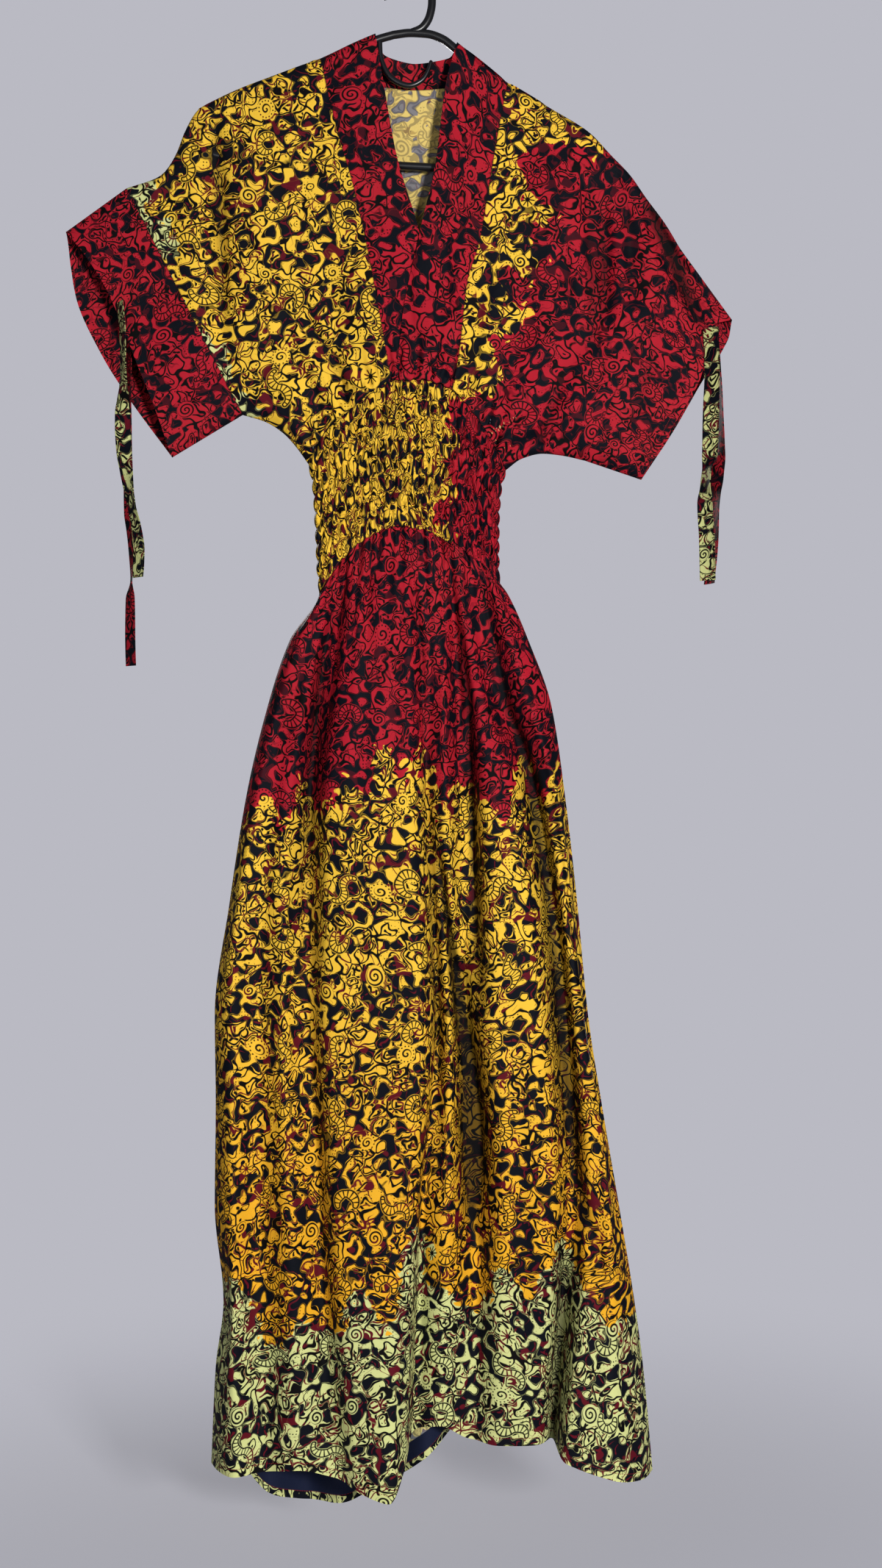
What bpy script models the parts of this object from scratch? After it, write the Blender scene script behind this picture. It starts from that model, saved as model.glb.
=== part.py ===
"""Ankara wax print maxi dress hanging on a tubular hanger.

Metres, +Z up, +X to the right of someone facing the dress, whose front faces -Y.
The origin is the underside of the hook's top arc, where a rail carries the hanger.
The tables below are in millimetres: x to the right, drop below the origin, and
forward or back for the distance of the cloth from the hanger's own plane.
"""

import bpy
import numpy as np

MM = 0.001

CLOTH = 1.5            # wall that stands for one sewn layer of cotton
SEAM = 0.3             # gap between pieces at a seam
HALF_SEAM = SEAM / 2
TUBE = 4.2             # radius of the hanger's tube
HOOK_TUBE = 4.15       # radius of the hook
HOOK_RADIUS = 25.8     # centre line of the hook's arc
SEAT = 0.6             # air between the hanger's arm and the cloth on it
EDGE_ROUND = 10.0      # how far the cloth takes to turn over an outline edge
FLAT_DEPTH = 9.0       # half thickness of the flat garment at sleeves and shoulders
CHEST_SWELL = 6.0      # what the middle of the bodice stands out beyond that
CHEST_REACH = 110.0    # distance from the outlines over which it does so
WAIST_DEPTH = 24.0     # half thickness of the shirred waist
WAIST_HALF = 96.0      # half width of the waist
WAIST_REACH = 170.0    # height over which the bodice fills out to the waist
WAIST_BLEND = 70.0     # height over which its folds die into the waist seam
OVERLAP = 2.2          # lift of the right front where it crosses the left
OVERLAP_TOP = 190.0    # drop at which the lift starts
OVERLAP_RISE = 80.0    # height over which it grows
OVERLAP_FADE = 60.0    # distance from the neckband over which it dies away
TIE_WIDTH = 18.0
TIE_CLOTH = 1.3
EDGE_STEPS = EDGE_ROUND * (1 - np.cos(np.radians((0, 30, 60, 90))))
LEAST_LEAN = 0.5       # a column that runs along an outline is treated as this square to it
SEAM_LIFT = 4.0        # distance out over which the overlap's lift starts from an outline

# Outlines in the hanger's plane, from the neck out: (x, drop)
OVERARM = {
    "left": ((-33, 72), (-56, 82), (-90, 98), (-110, 105), (-142, 117), (-171, 128),
             (-195, 139), (-216, 151), (-230, 174), (-239, 197), (-255, 219), (-290, 232)),
    "right": ((52, 81), (80, 105), (104, 123), (151, 151), (188, 174), (210, 197),
              (231, 219), (247, 242), (267, 269), (282, 294)),
}
UNDERARM = {
    "left": ((-102, 517), (-115, 499), (-128, 485), (-147, 473), (-170, 466)),
    "right": ((102, 523), (119, 511), (140, 506), (160, 508), (183, 513)),
}
MOUTH_FRONT = {
    "left": ((-353, 277), (-331, 304), (-308, 341), (-277, 417), (-256, 470), (-243, 510)),
    "right": ((336, 368), (313, 377), (306, 398), (304, 421), (274, 478), (242, 533)),
}
MOUTH_BACK = {
    "left": ((-353, 277), (-351, 303), (-345, 341), (-322, 394), (-290, 446), (-243, 510)),
    "right": ((336, 368), (335, 380), (328, 396), (309, 425), (277, 480), (242, 533)),
}
BAND_OUTER = {
    "left": ((-90, 98), (-74, 167), (-52, 246), (-36, 322), (-20, 412), (-14, 436)),
    "right": ((104, 123), (97, 159), (86, 223), (74, 293), (62, 333), (54, 403), (45, 444)),
}
BAND_INNER = {
    "left": ((-33, 72), (-25, 121), (-11, 200), (13, 282), (29, 364), (44, 443)),
    "right": ((52, 81), (40, 127), (29, 212), (13, 282), (-4, 365), (-10, 419), (-13, 436)),
}
NECK_LENGTH = 170.0    # of the back neck, between the shoulder seams
NECK_BACK_TOP = ((-33, 72), (-23, 91), (10, 99), (43, 94), (52, 81))
NECK_BACK_SEAM = ((-90, 98), (-64, 115), (-23, 123), (10, 126), (43, 124), (77, 121), (104, 123))
WAIST_EDGES = {
    "left": ((-102, 517), (-97, 538), (-94, 584)),
    "right": ((102, 523), (97, 538), (94, 584)),
}
WAIST_TOP = {
    "front": ((-102, 517), (-87, 490), (-56, 462), (-14, 436), (16, 435), (45, 444),
              (73, 474), (90, 499), (102, 523)),
    "back": ((-102, 517), (-60, 505), (0, 500), (60, 507), (102, 523)),
}
WAIST_SEAM = {
    "front": ((-91, 651), (-75, 628), (-49, 601), (-11, 584), (16, 587), (40, 599),
              (69, 616), (96, 640)),
    "back": ((-91, 651), (-50, 642), (0, 638), (55, 637), (96, 640)),
}

# Half outline of waist and skirt: (drop, left x, right x)
WAIST_SIDES = ((517, -102, 103), (523, -100, 102), (538, -97, 97), (584, -94, 94),
               (630, -92, 94), (640, -91, 96), (651, -91, 98))
SKIRT_SIDES = ((640, -90, 96), (651, -91, 104), (698, -121, 125), (766, -144, 149),
               (858, -166, 163), (972, -184, 176), (1086, -199, 187), (1177, -198, 201),
               (1283, -199, 219), (1382, -190, 235), (1450, -198, 244), (1560, -203, 254))
SIDE_ROUND = ((640, 12), (858, 16), (1283, 26), (1560, 34))    # (drop, skirt side depth)
SIDE_TURN = (0.28, 0.7)    # where the side's round lies, in and out, as parts of that depth
SIDE_HEMS = (1549, 1556)   # drop of the hem at the left and right side seams

# Fold lines that run down the skirt.  Each has its x on the waist seam, then x and the
# distance out from the hanger's plane at each station, and its drop at the hem.
STATIONS = (721, 858, 1070, 1283)
FRONT_FOLDS = (
    # name, seam x, (x, out) at the four stations, (x, out) at the hem, hem drop
    ("left_edge_crest", -84, (-117, 22), (-151, 24), (-178, 30), (-176, 36), (-173, 46), 1548),
    ("left_soft_valley", -79, (-106, 22), (-134, 22), (-151, 18), (-150, 20), (-144, 32), 1547),
    ("left_crest", -74, (-94, 27), (-118, 31), (-126, 36), (-120, 42), (-110, 50), 1540),
    ("valley_one", -66, (-80, 13), (-99, 12), (-102, 16), (-92, 26), (-72, 42), 1549),
    ("lobe_left", -44, (-56, 32), (-73, 40), (-76, 48), (-67, 54), (-46, 62), 1559),
    ("lobe_right", -6, (-6, 33), (-6, 42), (5, 52), (-6, 58), (-17, 67), 1567),
    ("lobe_edge", 12, (16, 30), (13, 36), (25, 42), (10, 47), (-2, 50), 1540),
    ("lobe_tuck", 20, (25, 22), (22, 22), (32, 24), (17, 20), (7, 15), 1511),
    ("mid_ridge", 30, (36, 28), (38, 33), (44, 37), (41, 38), (34, 23), 1504),
    ("slit_valley", 41, (48, 14), (56, 12), (59, 8), (70, 9), (65, 13), 1520),
    ("mid_crest", 51, (60, 27), (81, 38), (86, 46), (99, 42), (94, 27), 1523),
    ("mid_crest_right", 59, (68, 25), (106, 35), (133, 43), (146, 42), (134, 22), 1523),
    ("long_valley", 67, (80, 10), (130, 12), (160, 12), (168, 14), (148, 12), 1523),
    ("right_lobe_edge", 76, (95, 24), (142, 26), (171, 25), (187, 36), (160, 54), 1531),
    ("right_lobe_crest", 85, (112, 25), (153, 24), (179, 23), (205, 34), (206, 60), 1546),
)
BACK_FOLDS = (
    ("left_edge_crest", -83, (-114, 22), (-150, 26), (-180, 28), (-178, 32), (-180, 38), 1556),
    ("left_valley", -72, (-98, 15), (-122, 16), (-144, 16), (-140, 16), (-146, 20), 1586),
    ("left_crest", -56, (-75, 28), (-92, 36), (-104, 42), (-104, 46), (-106, 52), 1605),
    ("mid_left_valley", -38, (-48, 16), (-60, 14), (-66, 15), (-62, 17), (-66, 22), 1598),
    ("centre_left_crest", -16, (-18, 30), (-22, 38), (-24, 44), (-20, 50), (-22, 54), 1586),
    ("centre_valley", 6, (8, 17), (12, 15), (14, 15), (18, 17), (18, 20), 1552),
    ("centre_right_crest", 30, (36, 30), (44, 38), (52, 43), (58, 47), (60, 48), 1518),
    ("right_valley", 50, (62, 16), (82, 15), (94, 17), (104, 19), (108, 22), 1508),
    ("right_crest", 68, (86, 27), (114, 33), (134, 37), (152, 43), (164, 48), 1516),
    ("right_edge_valley", 82, (106, 19), (138, 20), (160, 22), (186, 24), (206, 28), 1538),
)
SKIRT_ROWS = (0, 0.02, 0.05, 0.09, 0.14, 0.2, 0.28, 0.37, 0.47, 0.58, 0.7, 0.85, 1)
COLUMN_WIDTH = 4.4     # width of a column of the skirt at its seam
GATHER = 1.7           # in and out of the gathers at the skirt's seam
GATHER_PITCH = 9.4
GATHER_FADE = 34.0     # drop over which they die away
GATHER_CLEAR = 16.0    # distance from the side seams over which they grow

# Soft creases of the bodice: (name, x, drop, end x, end drop, out, half width)
FRONT_CREASES = (
    ("left_hanger_end", -194, 215, -190, 425, -5.0, 9),
    ("left_sleeve_drape", -226, 215, -214, 440, 3.0, 14),
    ("left_chest", -150, 160, -146, 390, 2.5, 18),
    ("left_gather_side", -88, 478, -126, 372, -3.5, 8),
    ("left_gather_mid", -62, 452, -84, 318, -3.5, 8),
    ("left_gather_band", -36, 440, -52, 330, 2.5, 9),
    ("right_hanger_end", 202, 236, 208, 372, -5.0, 9),
    ("right_sleeve_fold", 249, 245, 298, 356, -6.5, 10),
    ("right_chest", 158, 178, 164, 350, 2.5, 18),
    ("right_gather_band", 62, 442, 82, 318, -3.5, 8),
    ("right_gather_mid", 84, 474, 132, 368, -3.5, 9),
    ("right_gather_side", 98, 502, 178, 430, 3.0, 10),
)
BACK_CREASES = (
    ("left_hanger_end", -190, 218, -184, 420, -5.0, 10),
    ("left_gather", -74, 500, -108, 380, -3.5, 9),
    ("centre_left_gather", -26, 494, -34, 360, -3.0, 9),
    ("centre_right_gather", 30, 496, 40, 350, 2.5, 10),
    ("right_gather", 80, 508, 120, 392, -3.5, 9),
    ("right_hanger_end", 198, 238, 200, 380, -5.0, 10),
)
CREASE_FADE = 14.0     # creases and swell die away this far from an outline

CREASE_ENDS = (0.12, 0.88)   # places in its sine wave where a crease starts and ends

# Fractions down the cuff seam of the points of one half of a cuff, and how far the
# sleeve mouth stands open in front of the hanger's plane and behind it
CUFF_STEPS = (0, 0.008, 0.03, 0.06, 0.14, 0.26, 0.4, 0.55, 0.7, 0.83, 0.92, 0.97, 0.992, 1)
CUFF_ROWS = 5
MOUTH_OPEN = {"front": 13.0, "back": 15.0}
MOUTH_LENGTH = 300.0
MOUTH_ROUND = 60.0     # length over which the mouth closes towards its two corners

PATCH_STEPS = 6        # steps down a bodice panel between its turned edges
UNDERARM_STEPS = 6     # columns of a bodice panel that end on the underarm
NECK_STEPS = 7         # steps of the back neck between its turned ends
WAIST_SPANS = 21       # spans of the waist seams, each with one gather of the shirring
BAND_SPANS = (9, 15)   # the neckband ends on the waist seam between these spans
BODICE_GATHER = 1.4    # in and out of the bodice's gathers above the waist
ELASTIC_ROWS = 8       # rows of elastic thread, with a puff between neighbours
GATHER_RELIEF = 1.0
PUFF_RELIEF = 0.7
SHIRRED_BACKING = 1.3  # plain thickness under that relief
RELIEF_CLEAR = 6.0     # distance out over which the relief starts from the side seams
SCALLOP = 1.6          # in and out of the waist's sides between elastic rows
SEAM_HOLD = 8          # power that keeps the scallops and the seam's own shape to the edges
PLAIN_ROWS = (0, 2, 5, 11, 16)   # rows of the relief that the plain inside keeps

# Sleeve ties: (x, drop, width that faces the front)
TIES = {
    "tie_left_front": ((-294, 354, 8), (-291, 389, 8), (-291, 425, 8), (-291, 472, 17),
                       (-290, 500, 17), (-287, 530, 14), (-282, 562, 10), (-276, 590, 12),
                       (-274, 612, 13), (-275, 636, 12)),
    "tie_left_back": ((-289, 372, 8), (-289, 425, 8), (-289, 494, 10), (-289, 561, 11),
                      (-287, 590, 9), (-286, 616, 7), (-287, 637, 4), (-288, 656, 11),
                      (-288, 693, 12), (-287, 725, 12)),
    "tie_right_front": ((311, 380, 14), (312, 420, 13), (311, 471, 15), (310, 510, 14),
                        (306, 532, 5), (305, 558, 13), (307, 595, 14), (308, 639, 14)),
    "tie_right_back": ((317, 394, 9), (321, 426, 5), (323, 463, 5), (324, 498, 6),
                       (321, 523, 12), (318, 560, 6), (317, 595, 7), (313, 640, 8)),
}

# Path of the hanger's frame beyond the arms: (x, drop)
NECK_PATH = ((-14, 73), (3, 71), (21, 72), (36, 77))
LEFT_BEND = ((-215.5, 163), (-217.5, 174), (-214, 186), (-205, 195), (-193, 198.5))
RIGHT_BEND = ((177, 218), (188, 215.5), (195, 207), (195.5, 196), (190.5, 186))
ARM_REACH = {"left": 216, "right": 188}    # how far out the straight arms go
HOOK_SWEEP = 206.0     # degrees of the hook's arc
STEM_PATH = ((25.6, 40), (23, 54), (15, 66), (4, 71))
LOOP_PATH = ((-29, 79), (-28.5, 92), (-24, 107), (-13, 120), (2, 125.5), (15, 120),
             (22, 109), (24.5, 101))
LOOP_RADII = (3.2, 3.2, 3.2, 3.1, 3.0, 2.8, 2.4, 1.9)
TUBE_SIDES = 10


# ---------------------------------------------------------------- curves and surfaces

def smooth(knots, values, at):
    """Monotone cubic through values at knots, read at the places in at."""
    knots = np.asarray(knots, float)
    values = np.asarray(values, float)
    at = np.asarray(at, float)
    step = np.diff(knots)
    slope = (np.diff(values, axis=0).T / step).T
    tangent = np.zeros_like(values)
    product = slope[:-1] * slope[1:]
    total = slope[:-1] + slope[1:]
    tangent[1:-1] = np.where(product > 0, 2 * product / np.where(total == 0, 1, total), 0)
    tangent[0] = slope[0]
    tangent[-1] = slope[-1]
    cell = np.clip(np.searchsorted(knots, at, side="right") - 1, 0, len(knots) - 2)
    width = step[cell]
    t = np.clip((at - knots[cell]) / width, 0, 1)
    shape = t.shape + (1,) * (values.ndim - 1)
    t = t.reshape(shape)
    width = width.reshape(shape)
    start = (1 + 2 * t) * (1 - t) ** 2 * values[cell] + t * (1 - t) ** 2 * width * tangent[cell]
    end = t * t * (3 - 2 * t) * values[cell + 1] - t * t * (1 - t) * width * tangent[cell + 1]
    return start + end


def spread(points, fractions):
    """Points at fractions of the length of a smooth curve through points."""
    points = np.asarray(points, float)
    reach = np.r_[0, np.cumsum(np.linalg.norm(np.diff(points, axis=0), axis=1))]
    return smooth(reach, points, np.asarray(fractions) * reach[-1])


def ease(value):
    """0 below 0, 1 above 1, with a smooth rise between."""
    value = np.clip(value, 0, 1)
    return value * value * (3 - 2 * value)


def distance(points, line):
    """Shortest distance from each point to a line of straight stretches."""
    nearest = np.full(points.shape[:-1], np.inf)
    line = np.asarray(line, float)
    for a, b in zip(line[:-1], line[1:]):
        run = b - a
        t = np.clip(((points - a) @ run) / (run @ run), 0, 1)
        nearest = np.minimum(nearest, np.linalg.norm(points - a - t[..., None] * run, axis=-1))
    return nearest


def quarter_turn(ratio):
    """Rise of a quarter circle from 0 to 1."""
    return np.sqrt(1 - (1 - np.clip(ratio, 0, 1)) ** 2)


def dense(points):
    """A curve's points at every 2 % of its length."""
    return spread(points, np.linspace(0, 1, 51))


OUTLINES = [dense(line) for table in (OVERARM, UNDERARM, WAIST_EDGES) for line in table.values()]
WAIST_LINE = dense(WAIST_TOP["front"])


def creased(points, creases):
    """Sum of soft troughs and ridges, each fading at its ends and sides."""
    out = np.zeros(points.shape[:-1])
    for _, x, drop, end_x, end_drop, height, half_width in creases:
        start = np.array((x, drop), float)
        run = np.array((end_x, end_drop), float) - start
        t = np.clip(((points - start) @ run) / (run @ run), 0, 1)
        off = np.linalg.norm(points - start - t[..., None] * run, axis=-1)
        wave = CREASE_ENDS[0] + (CREASE_ENDS[1] - CREASE_ENDS[0]) * t
        out += height * np.exp(-(off / half_width) ** 2) * np.sin(np.pi * wave)
    return out


def bodice_out(points, creases):
    """Distance of the bodice from the hanger's plane: a round edge at every outline,
    then flat, filling out to an oval at the waist."""
    edge = np.min([distance(points, line) for line in OUTLINES], axis=0)
    fill = ease(1 - distance(points, WAIST_LINE) / WAIST_REACH)
    depth = FLAT_DEPTH + (WAIST_DEPTH - FLAT_DEPTH) * fill
    reach = EDGE_ROUND + (WAIST_HALF - EDGE_ROUND) * fill
    inside = ease(edge / CREASE_FADE)
    swell = CHEST_SWELL * (1 - fill) * ease(edge / CHEST_REACH)
    return depth * quarter_turn(edge / reach) + swell + inside * creased(points, creases)


def waist_out(x, drop):
    """Distance of the waist from the hanger's plane: half an oval."""
    left = smooth([row[0] for row in WAIST_SIDES], [row[1] for row in WAIST_SIDES], drop)
    right = smooth([row[0] for row in WAIST_SIDES], [row[2] for row in WAIST_SIDES], drop)
    across = (2 * x - left - right) / (right - left)
    return WAIST_DEPTH * np.sqrt(np.clip(1 - across ** 2, 0, 1))


def place(x, drop, out):
    """World points in metres; out is positive towards the front."""
    return np.stack((x, -out, -drop), axis=-1) * MM


def waist_seam_points(line):
    """Ends of the spans of a waist seam, evenly spaced round the oval."""
    angle = np.linspace(0, 1, 401) * np.pi
    oval = np.stack((-np.cos(angle), WAIST_DEPTH / WAIST_HALF * np.sin(angle)), axis=-1)
    across = spread(oval, np.linspace(0, 1, WAIST_SPANS + 1))[:, 0]
    line = np.asarray(line, float)
    x = (line[-1, 0] + line[0, 0]) / 2 + across * (line[-1, 0] - line[0, 0]) / 2
    return np.stack((x, smooth(line[:, 0], line[:, 1], x)), axis=-1)


# ---------------------------------------------------------------- meshes and materials

def material(name, colour, roughness):
    """A Principled material for one kind of piece."""
    mat = bpy.data.materials.new(name)
    mat.use_nodes = True
    shader = mat.node_tree.nodes["Principled BSDF"]
    shader.inputs["Base Color"].default_value = (*colour, 1)
    shader.inputs["Roughness"].default_value = roughness
    return mat


def add_object(name, points, faces, mat):
    """A named object from points and faces, turned so that its faces point out."""
    mesh = bpy.data.meshes.new(name)
    corners = np.asarray(points)
    volume = 0.0
    for face in faces:
        for i in range(1, len(face) - 1):
            a, b, c = corners[face[0]], corners[face[i]], corners[face[i + 1]]
            volume += a @ np.cross(b, c)
    if volume < 0:
        faces = [face[::-1] for face in faces]
    mesh.from_pydata(corners.tolist(), [], faces)
    mesh.update()
    mesh.shade_smooth()
    mesh.set_sharp_from_angle(angle=np.radians(50))
    mesh.materials.append(mat)
    thing = bpy.data.objects.new(name, mesh)
    bpy.context.scene.collection.objects.link(thing)
    return thing


def unit(vectors):
    """Vectors of length one."""
    return vectors / np.maximum(np.linalg.norm(vectors, axis=-1, keepdims=True), 1e-12)


def surface_normals(grid, ring, front):
    """Normals of a grid of points, pointing away from the inside of the garment."""
    if ring:
        around = np.roll(grid, -1, axis=1) - np.roll(grid, 1, axis=1)
    else:
        around = np.gradient(grid, axis=1)
    normals = unit(np.cross(np.gradient(grid, axis=0), around))
    if ring:
        centre = grid.mean(axis=1, keepdims=True)
        facing = np.sum(normals * (grid - centre))
    else:
        facing = -normals[..., 1].sum() * front
    return normals if facing > 0 else -normals


def square_off(offset, border, turned):
    """Keeps a border's edge face square: to the seam line in the hanger's plane, or
    facing the other half of the garment where the cloth turns over an outline."""
    run = np.gradient(border, axis=0)
    across = unit(np.stack((run[:, 2], np.zeros(len(run)), -run[:, 0]), axis=-1))
    keep = np.where(np.asarray(turned)[:, None], (0.0, 1.0, 0.0), across)
    return offset - np.sum(offset * keep, axis=-1, keepdims=True) * keep


def inner_wall(grid, thickness, front, borders):
    """The inside of a wall: the grid moved in by its thickness along the normals."""
    offset = -thickness * MM * surface_normals(grid, False, front)
    rows, columns = grid.shape[:2]
    for side, turned in borders.items():
        pick = {"top": (0, slice(None)), "bottom": (-1, slice(None)),
                "start": (slice(None), 0), "end": (slice(None), -1)}[side]
        count = columns if side in ("top", "bottom") else rows
        offset[pick] = square_off(offset[pick], grid[pick], np.broadcast_to(turned, count))
    return grid + thickness * MM * unit(offset)


def wall_mesh(name, outer, inner, inner_rows, mat):
    """Closes an outer and an inner grid with the same columns into one wall."""
    rows, columns = outer.shape[:2]
    index = np.arange(rows * columns).reshape(rows, columns)
    kept = np.asarray(inner_rows)
    back = rows * columns + np.arange(len(kept) * columns).reshape(len(kept), columns)
    points = np.concatenate((outer.reshape(-1, 3), inner[kept].reshape(-1, 3)))
    faces = []
    for r in range(rows - 1):
        for c in range(columns - 1):
            faces.append((index[r, c], index[r, c + 1], index[r + 1, c + 1], index[r + 1, c]))
    for r in range(len(kept) - 1):
        for c in range(columns - 1):
            faces.append((back[r, c], back[r + 1, c], back[r + 1, c + 1], back[r, c + 1]))
        span = range(kept[r], kept[r + 1] + 1)
        faces.append((*(index[i, 0] for i in span), back[r + 1, 0], back[r, 0]))
        faces.append((*(index[i, -1] for i in reversed(span)), back[r, -1], back[r + 1, -1]))
    for c in range(columns - 1):
        faces.append((index[0, c], back[0, c], back[0, c + 1], index[0, c + 1]))
        faces.append((index[-1, c], index[-1, c + 1], back[-1, c + 1], back[-1, c]))
    return add_object(name, points, [tuple(int(i) for i in face) for face in faces], mat)


def cloth_wall(name, grid, thickness, front, borders, mat):
    """One cut piece of cloth as a closed wall; front is 1, or -1 for the back."""
    inner = inner_wall(grid, thickness, front, borders)
    return wall_mesh(name, grid, inner, range(len(grid)), mat)


def ring_wall(name, grid, thickness, end_axes, mat):
    """A closed tube of cloth; its end faces stay square to the two end axes."""
    offset = -surface_normals(grid, True, 1)
    for row, axis in zip((0, -1), end_axes):
        offset[row] -= (offset[row] @ axis)[:, None] * axis
    inner = grid + thickness * MM * unit(offset)
    rows, columns = grid.shape[:2]
    index = np.arange(rows * columns).reshape(rows, columns)
    back = index + rows * columns
    faces = []
    for c in range(columns):
        n = (c + 1) % columns
        for r in range(rows - 1):
            faces.append((index[r, c], index[r, n], index[r + 1, n], index[r + 1, c]))
            faces.append((back[r, c], back[r + 1, c], back[r + 1, n], back[r, n]))
        faces.append((index[0, c], back[0, c], back[0, n], index[0, n]))
        faces.append((index[-1, c], index[-1, n], back[-1, n], back[-1, c]))
    points = np.concatenate((grid.reshape(-1, 3), inner.reshape(-1, 3)))
    return add_object(name, points, [tuple(int(i) for i in face) for face in faces], mat)


def tube(name, path, radii, mat, is_loop=False):
    """A round tube along a path in the hanger's plane, closed or with flat ends."""
    path = np.asarray(path, float)
    if is_loop:
        run = np.roll(path, -1, axis=0) - np.roll(path, 1, axis=0)
    else:
        run = np.gradient(path, axis=0)
    run = unit(run)
    side = np.stack((run[:, 1], -run[:, 0]), axis=-1)
    angle = 2 * np.pi * (np.arange(TUBE_SIDES) + 0.5) / TUBE_SIDES
    radii = np.broadcast_to(radii, len(path))[:, None]
    x = path[:, :1] + radii * np.cos(angle) * side[:, :1]
    drop = path[:, 1:] + radii * np.cos(angle) * side[:, 1:]
    grid = place(x, drop, radii * np.sin(angle))
    rows = len(path)
    index = np.arange(rows * TUBE_SIDES).reshape(rows, TUBE_SIDES)
    faces = []
    for r in range(rows if is_loop else rows - 1):
        n = (r + 1) % rows
        for s in range(TUBE_SIDES):
            t = (s + 1) % TUBE_SIDES
            faces.append((int(index[r, s]), int(index[r, t]), int(index[n, t]), int(index[n, s])))
    if not is_loop:
        faces.append(tuple(int(i) for i in index[0][::-1]))
        faces.append(tuple(int(i) for i in index[-1]))
    return add_object(name, grid.reshape(-1, 3), faces, mat)


# ---------------------------------------------------------------- the hanger

def arm_path(side):
    """The arm's centre line: the shoulder outline moved in by cloth, seat and tube."""
    line = dense(OVERARM[side])
    run = unit(np.gradient(line, axis=0))
    inward = np.stack((-run[:, 1], run[:, 0]), axis=-1)
    inward *= np.sign(inward[:, 1:])
    path = line + (CLOTH + SEAT + TUBE) * inward
    return path[np.abs(line[:, 0]) <= ARM_REACH[side]][::4]


def make_hanger(mat):
    """Frame, hook and accessory hook, joined as one moulding."""
    left = arm_path("left")
    right = arm_path("right")
    corner = np.concatenate((NECK_PATH, right, RIGHT_BEND[::-1]))
    top = spread(corner, np.linspace(0, 1, 26))
    bottom = spread(np.concatenate((LEFT_BEND[::-1], left[::-1], NECK_PATH[:1])),
                    np.linspace(0, 1, 24))[:-1]
    frame = tube("hanger", np.concatenate((top, bottom)), TUBE, mat, is_loop=True)
    sweep = np.radians(np.linspace(HOOK_SWEEP, 0, 15))
    arc = np.stack((HOOK_RADIUS * np.cos(sweep),
                    HOOK_RADIUS - HOOK_TUBE - HOOK_RADIUS * np.sin(sweep)), axis=-1)
    stem = spread(np.concatenate((arc[-1:], STEM_PATH)), np.linspace(0, 1, 9))[1:]
    hook = tube("hook_tool", np.concatenate((arc, stem)), HOOK_TUBE, mat)
    loop = tube("loop_tool", LOOP_PATH, LOOP_RADII, mat)
    for tool in (hook, loop):
        tool.hide_render = True
        tool.display_type = "WIRE"
        join = frame.modifiers.new("join_" + tool.name, "BOOLEAN")
        join.operation = "UNION"
        join.solver = "EXACT"
        join.object = tool


# ---------------------------------------------------------------- the bodice

def edge_fractions(start, end):
    """Fractions from start to end of each column, with the first and last ones at the
    edge steps measured square to the borders that start and end lie on."""
    run = end - start
    length = np.linalg.norm(run, axis=-1)
    along = run / length[:, None]
    fractions = []
    for line in (start, end):
        tangent = unit(np.gradient(line, axis=0))
        lean = np.abs(along[:, 0] * tangent[:, 1] - along[:, 1] * tangent[:, 0])
        fractions.append(EDGE_STEPS[:, None] / (np.maximum(lean, LEAST_LEAN) * length))
    first, last = fractions
    share = np.linspace(0, 1, PATCH_STEPS + 1)[1:-1, None]
    middle = first[-1] + share * (1 - last[-1] - first[-1])
    return np.concatenate((first, middle, 1 - last[::-1]))


def patch(top, bottom, start, end):
    """Grid between four borders, given as curves' points: top and bottom have one for
    each column, start and end are smooth curves that the outer columns follow."""
    fraction = edge_fractions(top, bottom)
    ruled = top + fraction[..., None] * (bottom - top)
    u = np.linspace(0, 1, top.shape[0])[None, :, None]
    for curve, column, weight in ((start, 0, 1 - u), (end, -1, u)):
        bend = spread(curve, fraction[:, column]) - ruled[:, column]
        ruled = ruled + weight * bend[:, None]
    return ruled


def blend_rows(grid_out, target, drop, reach):
    """Draws the last rows towards the waist seam's own distance out."""
    near = ease(1 - (drop[-1] - drop) / reach)
    return grid_out + near * (target - grid_out[-1])


def cuff_seam(side):
    """The straight seam between sleeve and cuff, top to bottom."""
    return np.array((OVERARM[side][-1], UNDERARM[side][-1]), float)


def outward(side):
    """Unit direction in the hanger's plane from the cuff seam to the sleeve mouth."""
    run = np.diff(cuff_seam(side), axis=0)[0]
    square = np.array((run[1], -run[0])) / np.linalg.norm(run)
    return square * (np.sign(square[0]) * (-1 if side == "left" else 1))


def overlap_lift(points, out):
    """Lift of the right neckband where it crosses the left one."""
    down = ease((points[..., 1] - OVERLAP_TOP) / OVERLAP_RISE)
    return OVERLAP * down * ease(out / SEAM_LIFT)


def shoulder(side):
    """The overarm outline from the neckband's seam out to the cuff seam."""
    reach = abs(BAND_OUTER[side][0][0])
    return [point for point in OVERARM[side] if abs(point[0]) >= reach]


def gathered(out, count):
    """Out with small gathers along the waist seam, alternate columns in and out."""
    edge = np.minimum(np.arange(count), np.arange(count)[::-1])
    sway = (np.arange(count) % 2 * 2 - 1) * ease(edge / 2)
    down = np.linspace(0, 1, out.shape[0])[:, None]
    swell = down ** 6 * (1 - down ** 48)
    out = out.copy()
    out[:, :count] += BODICE_GATHER * swell * sway
    return out


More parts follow.
